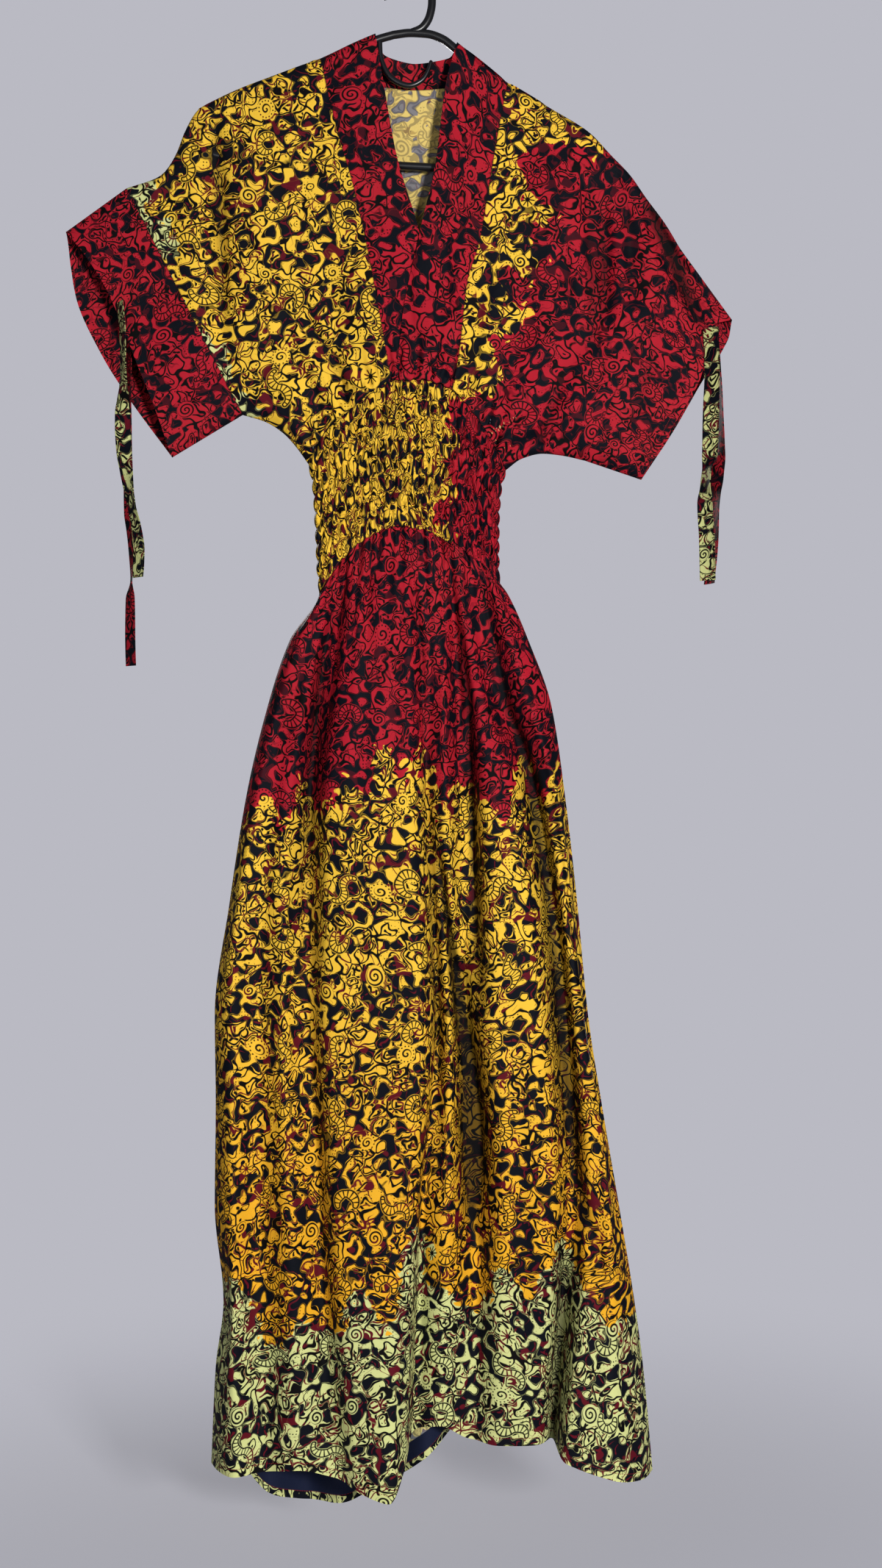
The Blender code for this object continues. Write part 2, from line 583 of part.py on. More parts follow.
def front_patch(side):
    """Flat grid of one front, from the neckband out to the cuff seam, with the number
    of its columns that lie on the waist seam."""
    waist = waist_seam_points(WAIST_TOP["front"])
    waist = waist[BAND_SPANS[0]::-1] if side == "left" else waist[BAND_SPANS[1]:]
    arm = spread(UNDERARM[side], np.linspace(0, 1, UNDERARM_STEPS + 1)[1:])
    bottom = np.concatenate((waist, arm))
    top = spread(shoulder(side), np.linspace(0, 1, len(bottom)))
    seam = (*BAND_OUTER[side][:-1], waist[0])
    return patch(top, bottom, seam, cuff_seam(side)), len(waist)


def make_front(side, mat):
    """One front with its half sleeve, cut in one."""
    flat, count = front_patch(side)
    on_waist = np.arange(flat.shape[1]) < count
    flat[-1, on_waist, 1] -= HALF_SEAM
    flat[:, 0, 0] += HALF_SEAM * (-1 if side == "left" else 1)
    flat[:, -1] -= HALF_SEAM * outward(side)
    out = bodice_out(flat, FRONT_CREASES)
    target = waist_out(flat[-1, :, 0], flat[-1, :, 1])
    target = np.where(on_waist, target, out[-1])
    out = gathered(blend_rows(out, target, flat[..., 1], WAIST_BLEND), count)
    if side == "right":
        away = 1 - ease(distance(flat, BAND_OUTER[side]) / OVERLAP_FADE)
        out = out + away * overlap_lift(flat, out)
    grid = place(flat[..., 0], flat[..., 1], out + HALF_SEAM)
    turned_bottom = np.arange(flat.shape[1]) >= count - 1
    borders = {"start": False, "end": False, "top": True, "bottom": turned_bottom}
    return cloth_wall("bodice_front_" + side, grid, CLOTH, 1, borders, mat)


def neck_steps():
    """Fractions along the back neck: fine where the shoulders turn over, then even."""
    ends = EDGE_STEPS / NECK_LENGTH
    middle = np.linspace(ends[-1], 1 - ends[-1], NECK_STEPS + 1)[1:-1]
    return np.concatenate((ends, middle, 1 - ends[::-1]))


def make_back(mat):
    """The back, as a centre panel and a half sleeve on each side of it."""
    steps = neck_steps()
    waist = waist_seam_points(WAIST_TOP["back"])
    under = np.linspace(0, 1, UNDERARM_STEPS + 1)[1:]
    bottom = np.concatenate((spread(UNDERARM["left"], under)[::-1], waist,
                             spread(UNDERARM["right"], under)))
    arms = np.linspace(0, 1, (len(bottom) - len(steps) + 2) // 2)
    top = np.concatenate((spread(shoulder("left"), arms)[::-1],
                          spread(NECK_BACK_SEAM, steps[1:-1]),
                          spread(shoulder("right"), arms)))
    place_in_row = np.arange(len(bottom))
    on_waist = (place_in_row >= len(under)) & (place_in_row[::-1] >= len(under))
    on_neck = (place_in_row >= len(arms)) & (place_in_row[::-1] >= len(arms))
    bottom[on_waist, 1] -= HALF_SEAM
    top[on_neck, 1] += HALF_SEAM
    flat = patch(top, bottom, cuff_seam("left"), cuff_seam("right"))
    flat[:, 0] -= HALF_SEAM * outward("left")
    flat[:, -1] -= HALF_SEAM * outward("right")
    first, last = len(under), len(bottom) - len(under)
    sleeve_back("left", flat[:, :first + 1].copy(), mat)
    sleeve_back("right", flat[:, last - 1:].copy(), mat)
    centre = flat[:, first:last].copy()
    centre[:, 0, 0] += HALF_SEAM
    centre[:, -1, 0] -= HALF_SEAM
    out = bodice_out(centre, BACK_CREASES)
    target = waist_out(centre[-1, :, 0], centre[-1, :, 1])
    out = gathered(blend_rows(out, target, centre[..., 1], WAIST_BLEND), len(waist))
    grid = place(centre[..., 0], centre[..., 1], -out - HALF_SEAM)
    corners = np.zeros(len(waist), bool)
    corners[[0, -1]] = True
    borders = {"start": False, "end": False, "top": ~on_neck[first:last], "bottom": corners}
    cloth_wall("bodice_back", grid, CLOTH, -1, borders, mat)


def sleeve_back(side, flat, mat):
    """The back half of one sleeve, between the back's centre panel and the cuff."""
    seam, shift = (-1, -HALF_SEAM) if side == "left" else (0, HALF_SEAM)
    flat[:, seam, 0] += shift
    out = bodice_out(flat, BACK_CREASES)
    grid = place(flat[..., 0], flat[..., 1], -out - HALF_SEAM)
    borders = {"start": False, "end": False, "top": True, "bottom": True}
    cloth_wall("sleeve_back_" + side, grid, CLOTH, -1, borders, mat)


def make_band_front(side, mat):
    """Half of the neckband, from the shoulder seam down to the waist seam.  Its outer
    edge keeps the rows of the front it is sewn to."""
    patch_grid, _ = front_patch(side)
    outer = patch_grid[:, 0]
    spans = waist_seam_points(WAIST_TOP["front"])[BAND_SPANS[0]:BAND_SPANS[1] + 1]
    foot = spans if side == "left" else spans[::-1]
    length = np.r_[0, np.cumsum(np.linalg.norm(np.diff(outer, axis=0), axis=1))]
    inner = spread((*BAND_INNER[side][:-1], foot[-1]), length / length[-1])
    across = np.linspace(0, 1, len(foot))[None, :, None]
    flat = outer[:, None] + across * (inner - outer)[:, None]
    near = (length / length[-1])[:, None, None] ** 4
    flat = flat + near * (foot - flat[-1])
    flat[:, 0, 0] += HALF_SEAM * (1 if side == "left" else -1)
    flat[-1, :, 1] -= HALF_SEAM
    out = bodice_out(flat, FRONT_CREASES)
    out[0] = 0
    out = blend_rows(out, waist_out(flat[-1, :, 0], flat[-1, :, 1]), flat[..., 1], WAIST_BLEND)
    if side == "right":
        out = out + overlap_lift(flat, out)
    grid = place(flat[..., 0], flat[..., 1], out + HALF_SEAM)
    borders = {"start": False, "end": False, "top": True, "bottom": False}
    return cloth_wall("neckband_" + side, grid, CLOTH, 1, borders, mat)


def make_band_back(mat):
    """The neckband behind the neck, from one shoulder seam to the other."""
    steps = neck_steps()
    top = spread(NECK_BACK_TOP, steps)
    seam = spread(NECK_BACK_SEAM, steps)
    seam[1:-1, 1] -= HALF_SEAM
    down = np.linspace(0, 1, 5)[:, None, None]
    flat = top + down * (seam - top)
    out = bodice_out(flat, BACK_CREASES)
    out[:, [0, -1]] = 0
    grid = place(flat[..., 0], flat[..., 1], -out - HALF_SEAM)
    borders = {"start": True, "end": True, "top": False, "bottom": False}
    return cloth_wall("neckband_back", grid, CLOTH, -1, borders, mat)


def cuff_grid(side):
    """Rings of the cuff from its seam to the sleeve mouth, front then back."""
    s = np.array(CUFF_STEPS)
    rings = []
    for row in np.linspace(0, 1, CUFF_ROWS):
        halves = []
        for face, mouth in (("front", MOUTH_FRONT), ("back", MOUTH_BACK)):
            seam = spread(cuff_seam(side), s) + HALF_SEAM * outward(side)
            edge = spread(mouth[side], s)
            flat = seam + row * (edge - seam)
            reach = MOUTH_LENGTH * np.minimum(s, 1 - s)
            creases = FRONT_CREASES if face == "front" else BACK_CREASES
            at_seam = bodice_out(seam, creases)
            at_mouth = MOUTH_OPEN[face] * quarter_turn(reach / MOUTH_ROUND)
            out = at_seam + ease(row) * (at_mouth - at_seam)
            out[[0, -1]] = 0
            halves.append(np.stack((flat[:, 0], flat[:, 1],
                                    out if face == "front" else -out), axis=-1))
        ring = np.concatenate((halves[0], halves[1][-2:0:-1]))
        rings.append(place(ring[:, 0], ring[:, 1], ring[:, 2]))
    return np.array(rings)


def make_cuff(side, mat):
    """The band sewn round the sleeve mouth, one closed tube of cloth."""
    axis = outward(side)
    axis = np.array((axis[0], 0, -axis[1]))
    return ring_wall("cuff_" + side, cuff_grid(side), CLOTH, (axis, axis), mat)


# ---------------------------------------------------------------- waist and skirt

def between(points):
    """Points with the middle of every span put in between."""
    middles = (points[:-1] + points[1:]) / 2
    return np.insert(points, np.arange(1, len(points)), middles, axis=0)


def make_waist(face, mat):
    """A shirred panel: rows of elastic with a puff between them and a gather in each
    span, raised on the outside over a plain inside."""
    front = 1 if face == "front" else -1
    rows = 2 * ELASTIC_ROWS
    top = between(waist_seam_points(WAIST_TOP[face]))
    seam = between(waist_seam_points(WAIST_SEAM[face]))
    sides = np.asarray(WAIST_SIDES, float)
    down = np.linspace(0, 1, rows + 1)[:, None]
    drop = top[:, 1] + HALF_SEAM + down * (seam[:, 1] - top[:, 1] - SEAM)
    left = smooth(sides[:, 0], sides[:, 1], drop)
    right = smooth(sides[:, 0], sides[:, 2], drop)
    middle, half = (left + right) / 2, (right - left) / 2
    ruled = top[:, 0] + down * (seam[:, 0] - top[:, 0])
    across = 2 * (ruled - ruled[:, :1]) / (ruled[:, -1:] - ruled[:, :1]) - 1
    near_seam = np.abs(2 * down - 1) ** SEAM_HOLD
    x = middle + across * half
    x = x + near_seam * (ruled - x)
    base = WAIST_DEPTH * np.sqrt(1 - across ** 2)
    puff = (np.arange(rows + 1) % 2)[:, None]
    gather = np.arange(len(top)) % 2
    relief = (GATHER_RELIEF * gather + PUFF_RELIEF * puff) * ease(base / RELIEF_CLEAR)
    scallop = across ** SEAM_HOLD * np.sign(across) * SCALLOP * puff
    outer = place(x + scallop, drop, front * (base + relief + HALF_SEAM))
    plain = place(x, drop, front * (base + HALF_SEAM))
    borders = {"start": True, "end": True, "top": False, "bottom": False}
    inner = inner_wall(plain, SHIRRED_BACKING, front, borders)
    return wall_mesh("waist_" + face, outer, inner, PLAIN_ROWS, mat)


def fold_columns(folds, seam, rows):
    """x, drop and distance out of every fold line at every row."""
    seam = np.asarray(seam, float)
    sides = np.asarray(SKIRT_SIDES, float)
    rounding = np.asarray(SIDE_ROUND, float)
    lines = []
    for _, seam_x, *stations, hem_drop in folds:
        seam_drop = float(smooth(seam[:, 0], seam[:, 1], np.array([seam_x]))[0])
        drop = seam_drop + rows * (hem_drop - seam_drop)
        knots = (seam_drop, *STATIONS, hem_drop)
        waist = float(waist_out(np.array([seam_x]), np.array([seam_drop]))[0])
        values = np.array([(seam_x, waist), *stations], float)
        lines.append(np.column_stack((smooth(knots, values, drop), drop)))
    pairs = []
    for end, column, hem_drop, inward in ((0, 1, SIDE_HEMS[0], 1), (-1, 2, SIDE_HEMS[1], -1)):
        drop = seam[end, 1] + rows * (hem_drop - seam[end, 1])
        x = smooth(sides[:, 0], sides[:, column], drop)
        turn = smooth(rounding[:, 0], rounding[:, 1], drop)
        edge = np.column_stack((x, 0 * x, drop))
        near = np.column_stack((x + inward * SIDE_TURN[0] * turn, SIDE_TURN[1] * turn, drop))
        pairs.append([edge, near][::inward])
    return np.stack(pairs[0] + lines + pairs[1], axis=1)


def make_skirt(face, folds, mat):
    """A gathered panel: sections through the fold lines at every row, seam to hem."""
    front = 1 if face == "front" else -1
    rows = np.array(SKIRT_ROWS)
    lines = fold_columns(folds, WAIST_SEAM[face], rows)
    steps = [0.0]
    for k, gap in enumerate(np.diff(lines[0, :, 0])):
        pieces = max(2, round(gap / COLUMN_WIDTH))
        steps += [k + (piece + 1) / pieces for piece in range(pieces)]
    count = lines.shape[1]
    sections = smooth(np.arange(count), lines.transpose(1, 0, 2), steps).transpose(1, 0, 2)
    x, out, drop = sections[..., 0], sections[..., 1], sections[..., 2]
    drop[0] = np.interp(x[0], *waist_seam_points(WAIST_SEAM[face]).T)
    edge = np.minimum(x[0] - x[0, 0], x[0, -1] - x[0])
    fade = np.exp(-(drop - drop[0]) / GATHER_FADE) * ease(edge / GATHER_CLEAR)
    out = out + GATHER * fade * np.cos(2 * np.pi * x[0] / GATHER_PITCH)
    drop[0] += HALF_SEAM
    grid = place(x, drop, front * (out + HALF_SEAM))
    borders = {"start": True, "end": True, "top": False, "bottom": False}
    return cloth_wall("skirt_" + face, grid, CLOTH, front, borders, mat)


# ---------------------------------------------------------------- the ties

def forward_at(grid, x, drop):
    """How far forward a grid's front surface is at one place, from its triangles."""
    cells = grid / MM
    a, b = cells[:-1, :-1], cells[:-1, 1:]
    c, d = cells[1:, :-1], cells[1:, 1:]
    for p, q, r in ((a, b, c), (d, c, b)):
        u, v = q - p, r - p
        w = np.array((x, -drop)) - p[..., [0, 2]]
        area = u[..., 0] * v[..., 2] - u[..., 2] * v[..., 0]
        s = (w[..., 0] * v[..., 2] - w[..., 1] * v[..., 0]) / area
        t = (u[..., 0] * w[..., 1] - u[..., 2] * w[..., 0]) / area
        inside = (s >= 0) & (t >= 0) & (s + t <= 1)
        if inside.any():
            i = np.argwhere(inside)[0]
            i = (i[0], i[1])
            return -(p[i][1] + s[i] * u[i][1] + t[i] * v[i][1])
    return None


def make_tie(name, mat):
    """A flat sewn strip that hangs from the sleeve mouth, turning as it falls."""
    side = "left" if "left" in name else "right"
    ring = cuff_grid(side)
    fold = len(CUFF_STEPS)
    is_front = name.endswith("front")
    half = ring[:, :fold] if is_front else np.roll(ring, -fold + 1, axis=1)[:, :fold]
    table = np.array(TIES[name], float)
    reach = np.r_[0, np.cumsum(np.linalg.norm(np.diff(table[:, :2], axis=0), axis=1))]
    rows = smooth(reach, table, np.linspace(0, reach[-1], 2 * len(table) + 1))
    grid = []
    for x, drop, width in rows:
        lean = np.arccos(np.clip(width / TIE_WIDTH, 0.1, 1))
        half_x = TIE_WIDTH / 2 * np.cos(lean)
        half_y = TIE_WIDTH / 2 * np.sin(lean)
        found = [forward_at(half, x + k * half_x, drop) for k in (-1, 0, 1)]
        found = [surface for surface in found if surface is not None]
        if found:
            inner = max(found) + SEAM + (0 if is_front else CLOTH)
            forward = inner + TIE_CLOTH * np.cos(lean) + half_y
        grid.append([(x - half_x, drop, forward - half_y), (x + half_x, drop, forward + half_y)])
    grid = np.array(grid)
    points = place(grid[..., 0], grid[..., 1], grid[..., 2])
    return cloth_wall(name, points, TIE_CLOTH, 1, {}, mat)


# ---------------------------------------------------------------- assembly

def main():
    for thing in list(bpy.data.objects):
        bpy.data.objects.remove(thing, do_unlink=True)
    red = material("red_print_cotton", (0.55, 0.02, 0.03), 0.8)
    yellow = material("yellow_print_cotton", (0.8, 0.45, 0.03), 0.8)
    lime = material("lime_print_cotton", (0.6, 0.68, 0.2), 0.8)
    black = material("black_plastic", (0.01, 0.01, 0.01), 0.3)
    make_hanger(black)
    make_front("left", yellow)
    make_front("right", red)
    make_back(yellow)
    for side in ("left", "right"):
        make_cuff(side, red)
        make_band_front(side, red)
    make_band_back(red)
    make_waist("front", yellow)
    make_waist("back", yellow)
    make_skirt("front", FRONT_FOLDS, yellow)
    make_skirt("back", BACK_FOLDS, yellow)
    for name in TIES:
        make_tie(name, lime if name.endswith("front") else red)


main()
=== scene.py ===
"""The looks of an ankara wax print maxi dress on a tubular hanger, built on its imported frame.

Lengths in the tables are millimetres: x to the right, drop below the hook's contact
point, and out for the distance of the cloth from the hanger's own plane."""
import math
from functools import partial, reduce

import bpy
import numpy as np
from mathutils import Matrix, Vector


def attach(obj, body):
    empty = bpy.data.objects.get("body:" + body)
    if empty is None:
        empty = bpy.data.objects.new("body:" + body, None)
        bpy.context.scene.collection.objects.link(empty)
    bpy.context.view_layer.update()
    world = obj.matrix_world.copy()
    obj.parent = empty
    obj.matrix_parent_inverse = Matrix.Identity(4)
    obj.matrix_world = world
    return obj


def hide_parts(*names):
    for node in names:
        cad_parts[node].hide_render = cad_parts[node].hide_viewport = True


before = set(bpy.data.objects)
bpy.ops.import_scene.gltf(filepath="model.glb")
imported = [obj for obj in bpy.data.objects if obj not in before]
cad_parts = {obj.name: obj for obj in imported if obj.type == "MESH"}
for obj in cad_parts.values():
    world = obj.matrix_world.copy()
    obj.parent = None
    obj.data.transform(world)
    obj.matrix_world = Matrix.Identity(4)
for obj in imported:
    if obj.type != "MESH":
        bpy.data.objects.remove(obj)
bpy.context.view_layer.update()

# Driving dimensions in millimetres, the same as the solids'
MM = 0.001
TUBE = 4.2                      # radius of the hanger's tube
HOOK_TUBE = 4.15
HOOK_RADIUS = 25.8              # of the hook's centre line
SEAT = 0.6                      # between the arms and the shoulders' cloth
CLOTH = 1.5                     # wall of the solids' cloth
EDGE_ROUND = 10.0               # length over which an outline turns over
FLAT_DEPTH = 9.0                # distance out of the flat sleeves
CHEST_SWELL = 6.0
CHEST_REACH = 110.0
WAIST_DEPTH = 24.0              # half axes of the waist's oval
WAIST_HALF = 96.0
WAIST_REACH = 170.0             # height over which the bodice fills towards the waist
WAIST_BLEND = 70.0              # height over which it takes the waist's own shape
OVERLAP = 2.2                   # lift of the right neckband where it crosses the left
OVERLAP_TOP = 190.0
OVERLAP_RISE = 80.0
OVERLAP_FADE = 60.0
SEAM_LIFT = 4.0                 # distance out over which lifts start from a seam
TIE_WIDTH = 18.0
TIE_CLOTH = 1.3

# What the looks add, in millimetres unless said
FINE = 5        # points per span of the frame's own grids
SKIRT_ROWS = 216
SKIRT_SPLIT = 4    # columns that each column of the skirt is split into
PUFF_ROWS = 12  # rows of points between two rows of elastic
TIE_ROWS = 6    # rows of points between the stations of a tie
SHELL = 0.7                     # thickness of one layer of the cotton
BAND_SHELL = 1.1                # of the folded neckband
CUFF_SHELL = 1.0                # of the folded cuffs and the ties
SEAM = 0.06                     # half gap at a seam
WAIST_LIP = 0.5                 # what the bodice stands out over the shirring at its seam
HEM_STITCH = 8.5                # height of the hem's stitches above its edge
CUFF_STITCH = 12.0              # distance of the cuff's stitches from the mouth
HEM_LENGTH = 980.0              # length of a skirt panel down its middle
WAVES = 4                       # crossed waves in each field of the print
FINE_LEAST = 0.3                # part of the coarse form that no fine crease goes below
BAND_WIDTH = 50.0               # of the neckband, where it is plain
BAKE_OUTER = (0.005, 0.69)      # start and width of the outer face in the bake's square
BAKE_INNER = (0.715, 0.28)      # and of the inner face

# Outlines in the hanger's plane, from the neck out: (x, drop)
OVERARM = {
    "left": ((-33, 72), (-56, 82), (-90, 98), (-110, 105), (-142, 117), (-171, 128),
             (-195, 139), (-216, 151), (-230, 174), (-239, 197), (-255, 219), (-290, 232)),
    "right": ((52, 81), (80, 105), (104, 123), (151, 151), (188, 174), (210, 197),
              (231, 219), (247, 242), (267, 269), (282, 294)),
}
UNDERARM = {
    "left": ((-102, 517), (-115, 499), (-128, 485), (-147, 473), (-170, 466)),
    "right": ((102, 523), (119, 511), (140, 506), (160, 508), (183, 513)),
}
MOUTHS = {
    "front": {
        "left": ((-353, 277), (-331, 304), (-308, 341), (-277, 417), (-256, 470), (-243, 510)),
        "right": ((336, 368), (313, 377), (306, 398), (304, 421), (274, 478), (242, 533)),
    },
    "back": {
        "left": ((-353, 277), (-351, 303), (-345, 341), (-322, 394), (-290, 446), (-243, 510)),
        "right": ((336, 368), (335, 380), (328, 396), (309, 425), (277, 480), (242, 533)),
    },
}
BAND_OUTER = {
    "left": ((-90, 98), (-74, 167), (-52, 246), (-36, 322), (-20, 412), (-14, 436)),
    "right": ((104, 123), (97, 159), (86, 223), (74, 293), (62, 333), (54, 403), (45, 444)),
}
BAND_INNER = {
    "left": ((-33, 72), (-25, 121), (-11, 200), (13, 282), (29, 364), (44, 443)),
    "right": ((52, 81), (40, 127), (29, 212), (13, 282), (-4, 365), (-10, 419), (-13, 436)),
}
NECK_LENGTH = 170.0    # of the back neck, between the shoulder seams
NECK_BACK_TOP = ((-33, 72), (-23, 91), (10, 99), (43, 94), (52, 81))
NECK_BACK_SEAM = ((-90, 98), (-64, 115), (-23, 123), (10, 126), (43, 124), (77, 121), (104, 123))
WAIST_EDGES = {
    "left": ((-102, 517), (-97, 538), (-94, 584)),
    "right": ((102, 523), (97, 538), (94, 584)),
}
WAIST_TOP = {
    "front": ((-102, 517), (-87, 490), (-56, 462), (-14, 436), (16, 435), (45, 444),
              (73, 474), (90, 499), (102, 523)),
    "back": ((-102, 517), (-60, 505), (0, 500), (60, 507), (102, 523)),
}
WAIST_SEAM = {
    "front": ((-91, 651), (-75, 628), (-49, 601), (-11, 584), (16, 587), (40, 599),
              (69, 616), (96, 640)),
    "back": ((-91, 651), (-50, 642), (0, 638), (55, 637), (96, 640)),
}

# Half outline of waist and skirt: (drop, left x, right x)
WAIST_SIDES = ((517, -102, 103), (523, -100, 102), (538, -97, 97), (584, -94, 94),
               (630, -92, 94), (640, -91, 96), (651, -91, 98))
SKIRT_SIDES = ((640, -90, 96), (651, -91, 104), (698, -121, 125), (766, -144, 149),
               (858, -166, 163), (972, -184, 176), (1086, -199, 187), (1177, -198, 201),
               (1283, -199, 219), (1382, -190, 235), (1450, -198, 244), (1560, -203, 254))
SIDE_ROUND = ((640, 12), (858, 16), (1283, 26), (1560, 34))    # (drop, skirt side depth)
SIDE_TURN = (0.28, 0.7)    # where the side's round lies, in and out, as parts of that depth
SIDE_HEMS = (1549, 1556)   # drop of the hem at the left and right side seams

# Fold lines that run down the skirt.  Each has its x on the waist seam, then x and the
# distance out from the hanger's plane at each station, and its drop at the hem.
STATIONS = (721, 858, 1070, 1283)
FRONT_FOLDS = (
    # name, seam x, (x, out) at the four stations, (x, out) at the hem, hem drop
    ("left_edge_crest", -84, (-117, 22), (-151, 24), (-178, 30), (-176, 36), (-173, 46), 1548),
    ("left_soft_valley", -79, (-106, 22), (-134, 22), (-151, 18), (-150, 20), (-144, 32), 1547),
    ("left_crest", -74, (-94, 27), (-118, 31), (-126, 36), (-120, 42), (-110, 50), 1540),
    ("valley_one", -66, (-80, 13), (-99, 12), (-102, 16), (-92, 26), (-72, 42), 1549),
    ("lobe_left", -44, (-56, 32), (-73, 40), (-76, 48), (-67, 54), (-46, 62), 1559),
    ("lobe_right", -6, (-6, 33), (-6, 42), (5, 52), (-6, 58), (-17, 67), 1567),
    ("lobe_edge", 12, (16, 30), (13, 36), (25, 42), (10, 47), (-2, 50), 1540),
    ("lobe_tuck", 20, (25, 22), (22, 22), (32, 24), (17, 20), (7, 15), 1511),
    ("mid_ridge", 30, (36, 28), (38, 33), (44, 37), (41, 38), (34, 23), 1504),
    ("slit_valley", 41, (48, 14), (56, 12), (59, 8), (70, 9), (65, 13), 1520),
    ("mid_crest", 51, (60, 27), (81, 38), (86, 46), (99, 42), (94, 27), 1523),
    ("mid_crest_right", 59, (68, 25), (106, 35), (133, 43), (146, 42), (134, 22), 1523),
    ("long_valley", 67, (80, 10), (130, 12), (160, 12), (168, 14), (148, 12), 1523),
    ("right_lobe_edge", 76, (95, 24), (142, 26), (171, 25), (187, 36), (160, 54), 1531),
    ("right_lobe_crest", 85, (112, 25), (153, 24), (179, 23), (205, 34), (206, 60), 1546),
)
BACK_FOLDS = (
    ("left_edge_crest", -83, (-114, 22), (-150, 26), (-180, 28), (-178, 32), (-180, 38), 1556),
    ("left_valley", -72, (-98, 15), (-122, 16), (-144, 16), (-140, 16), (-146, 20), 1586),
    ("left_crest", -56, (-75, 28), (-92, 36), (-104, 42), (-104, 46), (-106, 52), 1605),
    ("mid_left_valley", -38, (-48, 16), (-60, 14), (-66, 15), (-62, 17), (-66, 22), 1598),
    ("centre_left_crest", -16, (-18, 30), (-22, 38), (-24, 44), (-20, 50), (-22, 54), 1586),
    ("centre_valley", 6, (8, 17), (12, 15), (14, 15), (18, 17), (18, 20), 1552),
    ("centre_right_crest", 30, (36, 30), (44, 38), (52, 43), (58, 47), (60, 48), 1518),
    ("right_valley", 50, (62, 16), (82, 15), (94, 17), (104, 19), (108, 22), 1508),
    ("right_crest", 68, (86, 27), (114, 33), (134, 37), (152, 43), (164, 48), 1516),
    ("right_edge_valley", 82, (106, 19), (138, 20), (160, 22), (186, 24), (206, 28), 1538),
)
COLUMN_WIDTH = 4.4     # width of a column of the skirt at its seam
GATHER_PITCH = 9.4     # of the fine gathers below the skirt's seam
GATHER_CLEAR = 16.0    # distance from the side seams over which they grow

# Soft creases of the bodice: (name, x, drop, end x, end drop, out, half width)
CREASES = {
    "front": (
        ("left_hanger_end", -194, 215, -190, 425, -5.0, 9),
        ("left_sleeve_drape", -226, 215, -214, 440, 3.0, 14),
        ("left_chest", -150, 160, -146, 390, 2.5, 18),
        ("left_gather_side", -88, 478, -126, 372, -3.5, 8),
        ("left_gather_mid", -62, 452, -84, 318, -3.5, 8),
        ("left_gather_band", -36, 440, -52, 330, 2.5, 9),
        ("right_hanger_end", 202, 236, 208, 372, -5.0, 9),
        ("right_sleeve_fold", 249, 245, 298, 356, -6.5, 10),
        ("right_chest", 158, 178, 164, 350, 2.5, 18),
        ("right_gather_band", 62, 442, 82, 318, -3.5, 8),
        ("right_gather_mid", 84, 474, 132, 368, -3.5, 9),
        ("right_gather_side", 98, 502, 178, 430, 3.0, 10),
    ),
    "back": (
        ("left_hanger_end", -190, 218, -184, 420, -5.0, 10),
        ("left_gather", -74, 500, -108, 380, -3.5, 9),
        ("centre_left_gather", -26, 494, -34, 360, -3.0, 9),
        ("centre_right_gather", 30, 496, 40, 350, 2.5, 10),
        ("right_gather", 80, 508, 120, 392, -3.5, 9),
        ("right_hanger_end", 198, 238, 200, 380, -5.0, 10),
    ),
}
CREASE_FADE = 14.0     # creases and swell die away this far from an outline
CREASE_ENDS = (0.12, 0.88)    # places in its sine wave where a crease starts and ends

# Fractions down the cuff seam of the points of one half of a cuff, and how far the
# sleeve mouth stands open in front of the hanger's plane and behind it
CUFF_STEPS = (0, 0.008, 0.03, 0.06, 0.14, 0.26, 0.4, 0.55, 0.7, 0.83, 0.92, 0.97, 0.992, 1)
CUFF_ROWS = 5
MOUTH_OPEN = {"front": 13.0, "back": 15.0}
MOUTH_LENGTH = 300.0
MOUTH_ROUND = 60.0     # length over which the mouth closes towards its two corners

PATCH_STEPS = 6        # steps down a bodice panel between its turned edges
UNDERARM_STEPS = 6     # columns of a bodice panel that end on the underarm
NECK_STEPS = 7         # steps of the back neck between its turned ends
WAIST_SPANS = 21       # spans of the waist seams, each with one gather of the shirring
BAND_SPANS = (9, 15)   # the neckband ends on the waist seam between these spans
ELASTIC_ROWS = 8       # rows of elastic thread, with a puff between neighbours
PUCKER_PITCH = 8.7     # of the puckers between them
SEAM_HOLD = 8          # power that keeps the seams' own shape and the scallops to the edges

# Sleeve ties: (x, drop, width that faces the front)
TIES = {
    "tie_left_front": ((-294, 354, 8), (-291, 389, 8), (-291, 425, 8), (-291, 472, 17),
                       (-290, 500, 17), (-287, 530, 14), (-282, 562, 10), (-276, 590, 12),
                       (-274, 612, 13), (-275, 636, 12)),
    "tie_left_back": ((-289, 372, 8), (-289, 425, 8), (-289, 494, 10), (-289, 561, 11),
                      (-287, 590, 9), (-286, 616, 7), (-287, 637, 4), (-288, 656, 11),
                      (-288, 693, 12), (-287, 725, 12)),
    "tie_right_front": ((311, 380, 14), (312, 420, 13), (311, 471, 15), (310, 510, 14),
                        (306, 532, 5), (305, 558, 13), (307, 595, 14), (308, 639, 14)),
    "tie_right_back": ((317, 394, 9), (321, 426, 5), (323, 463, 5), (324, 498, 6),
                       (321, 523, 12), (318, 560, 6), (317, 595, 7), (313, 640, 8)),
}

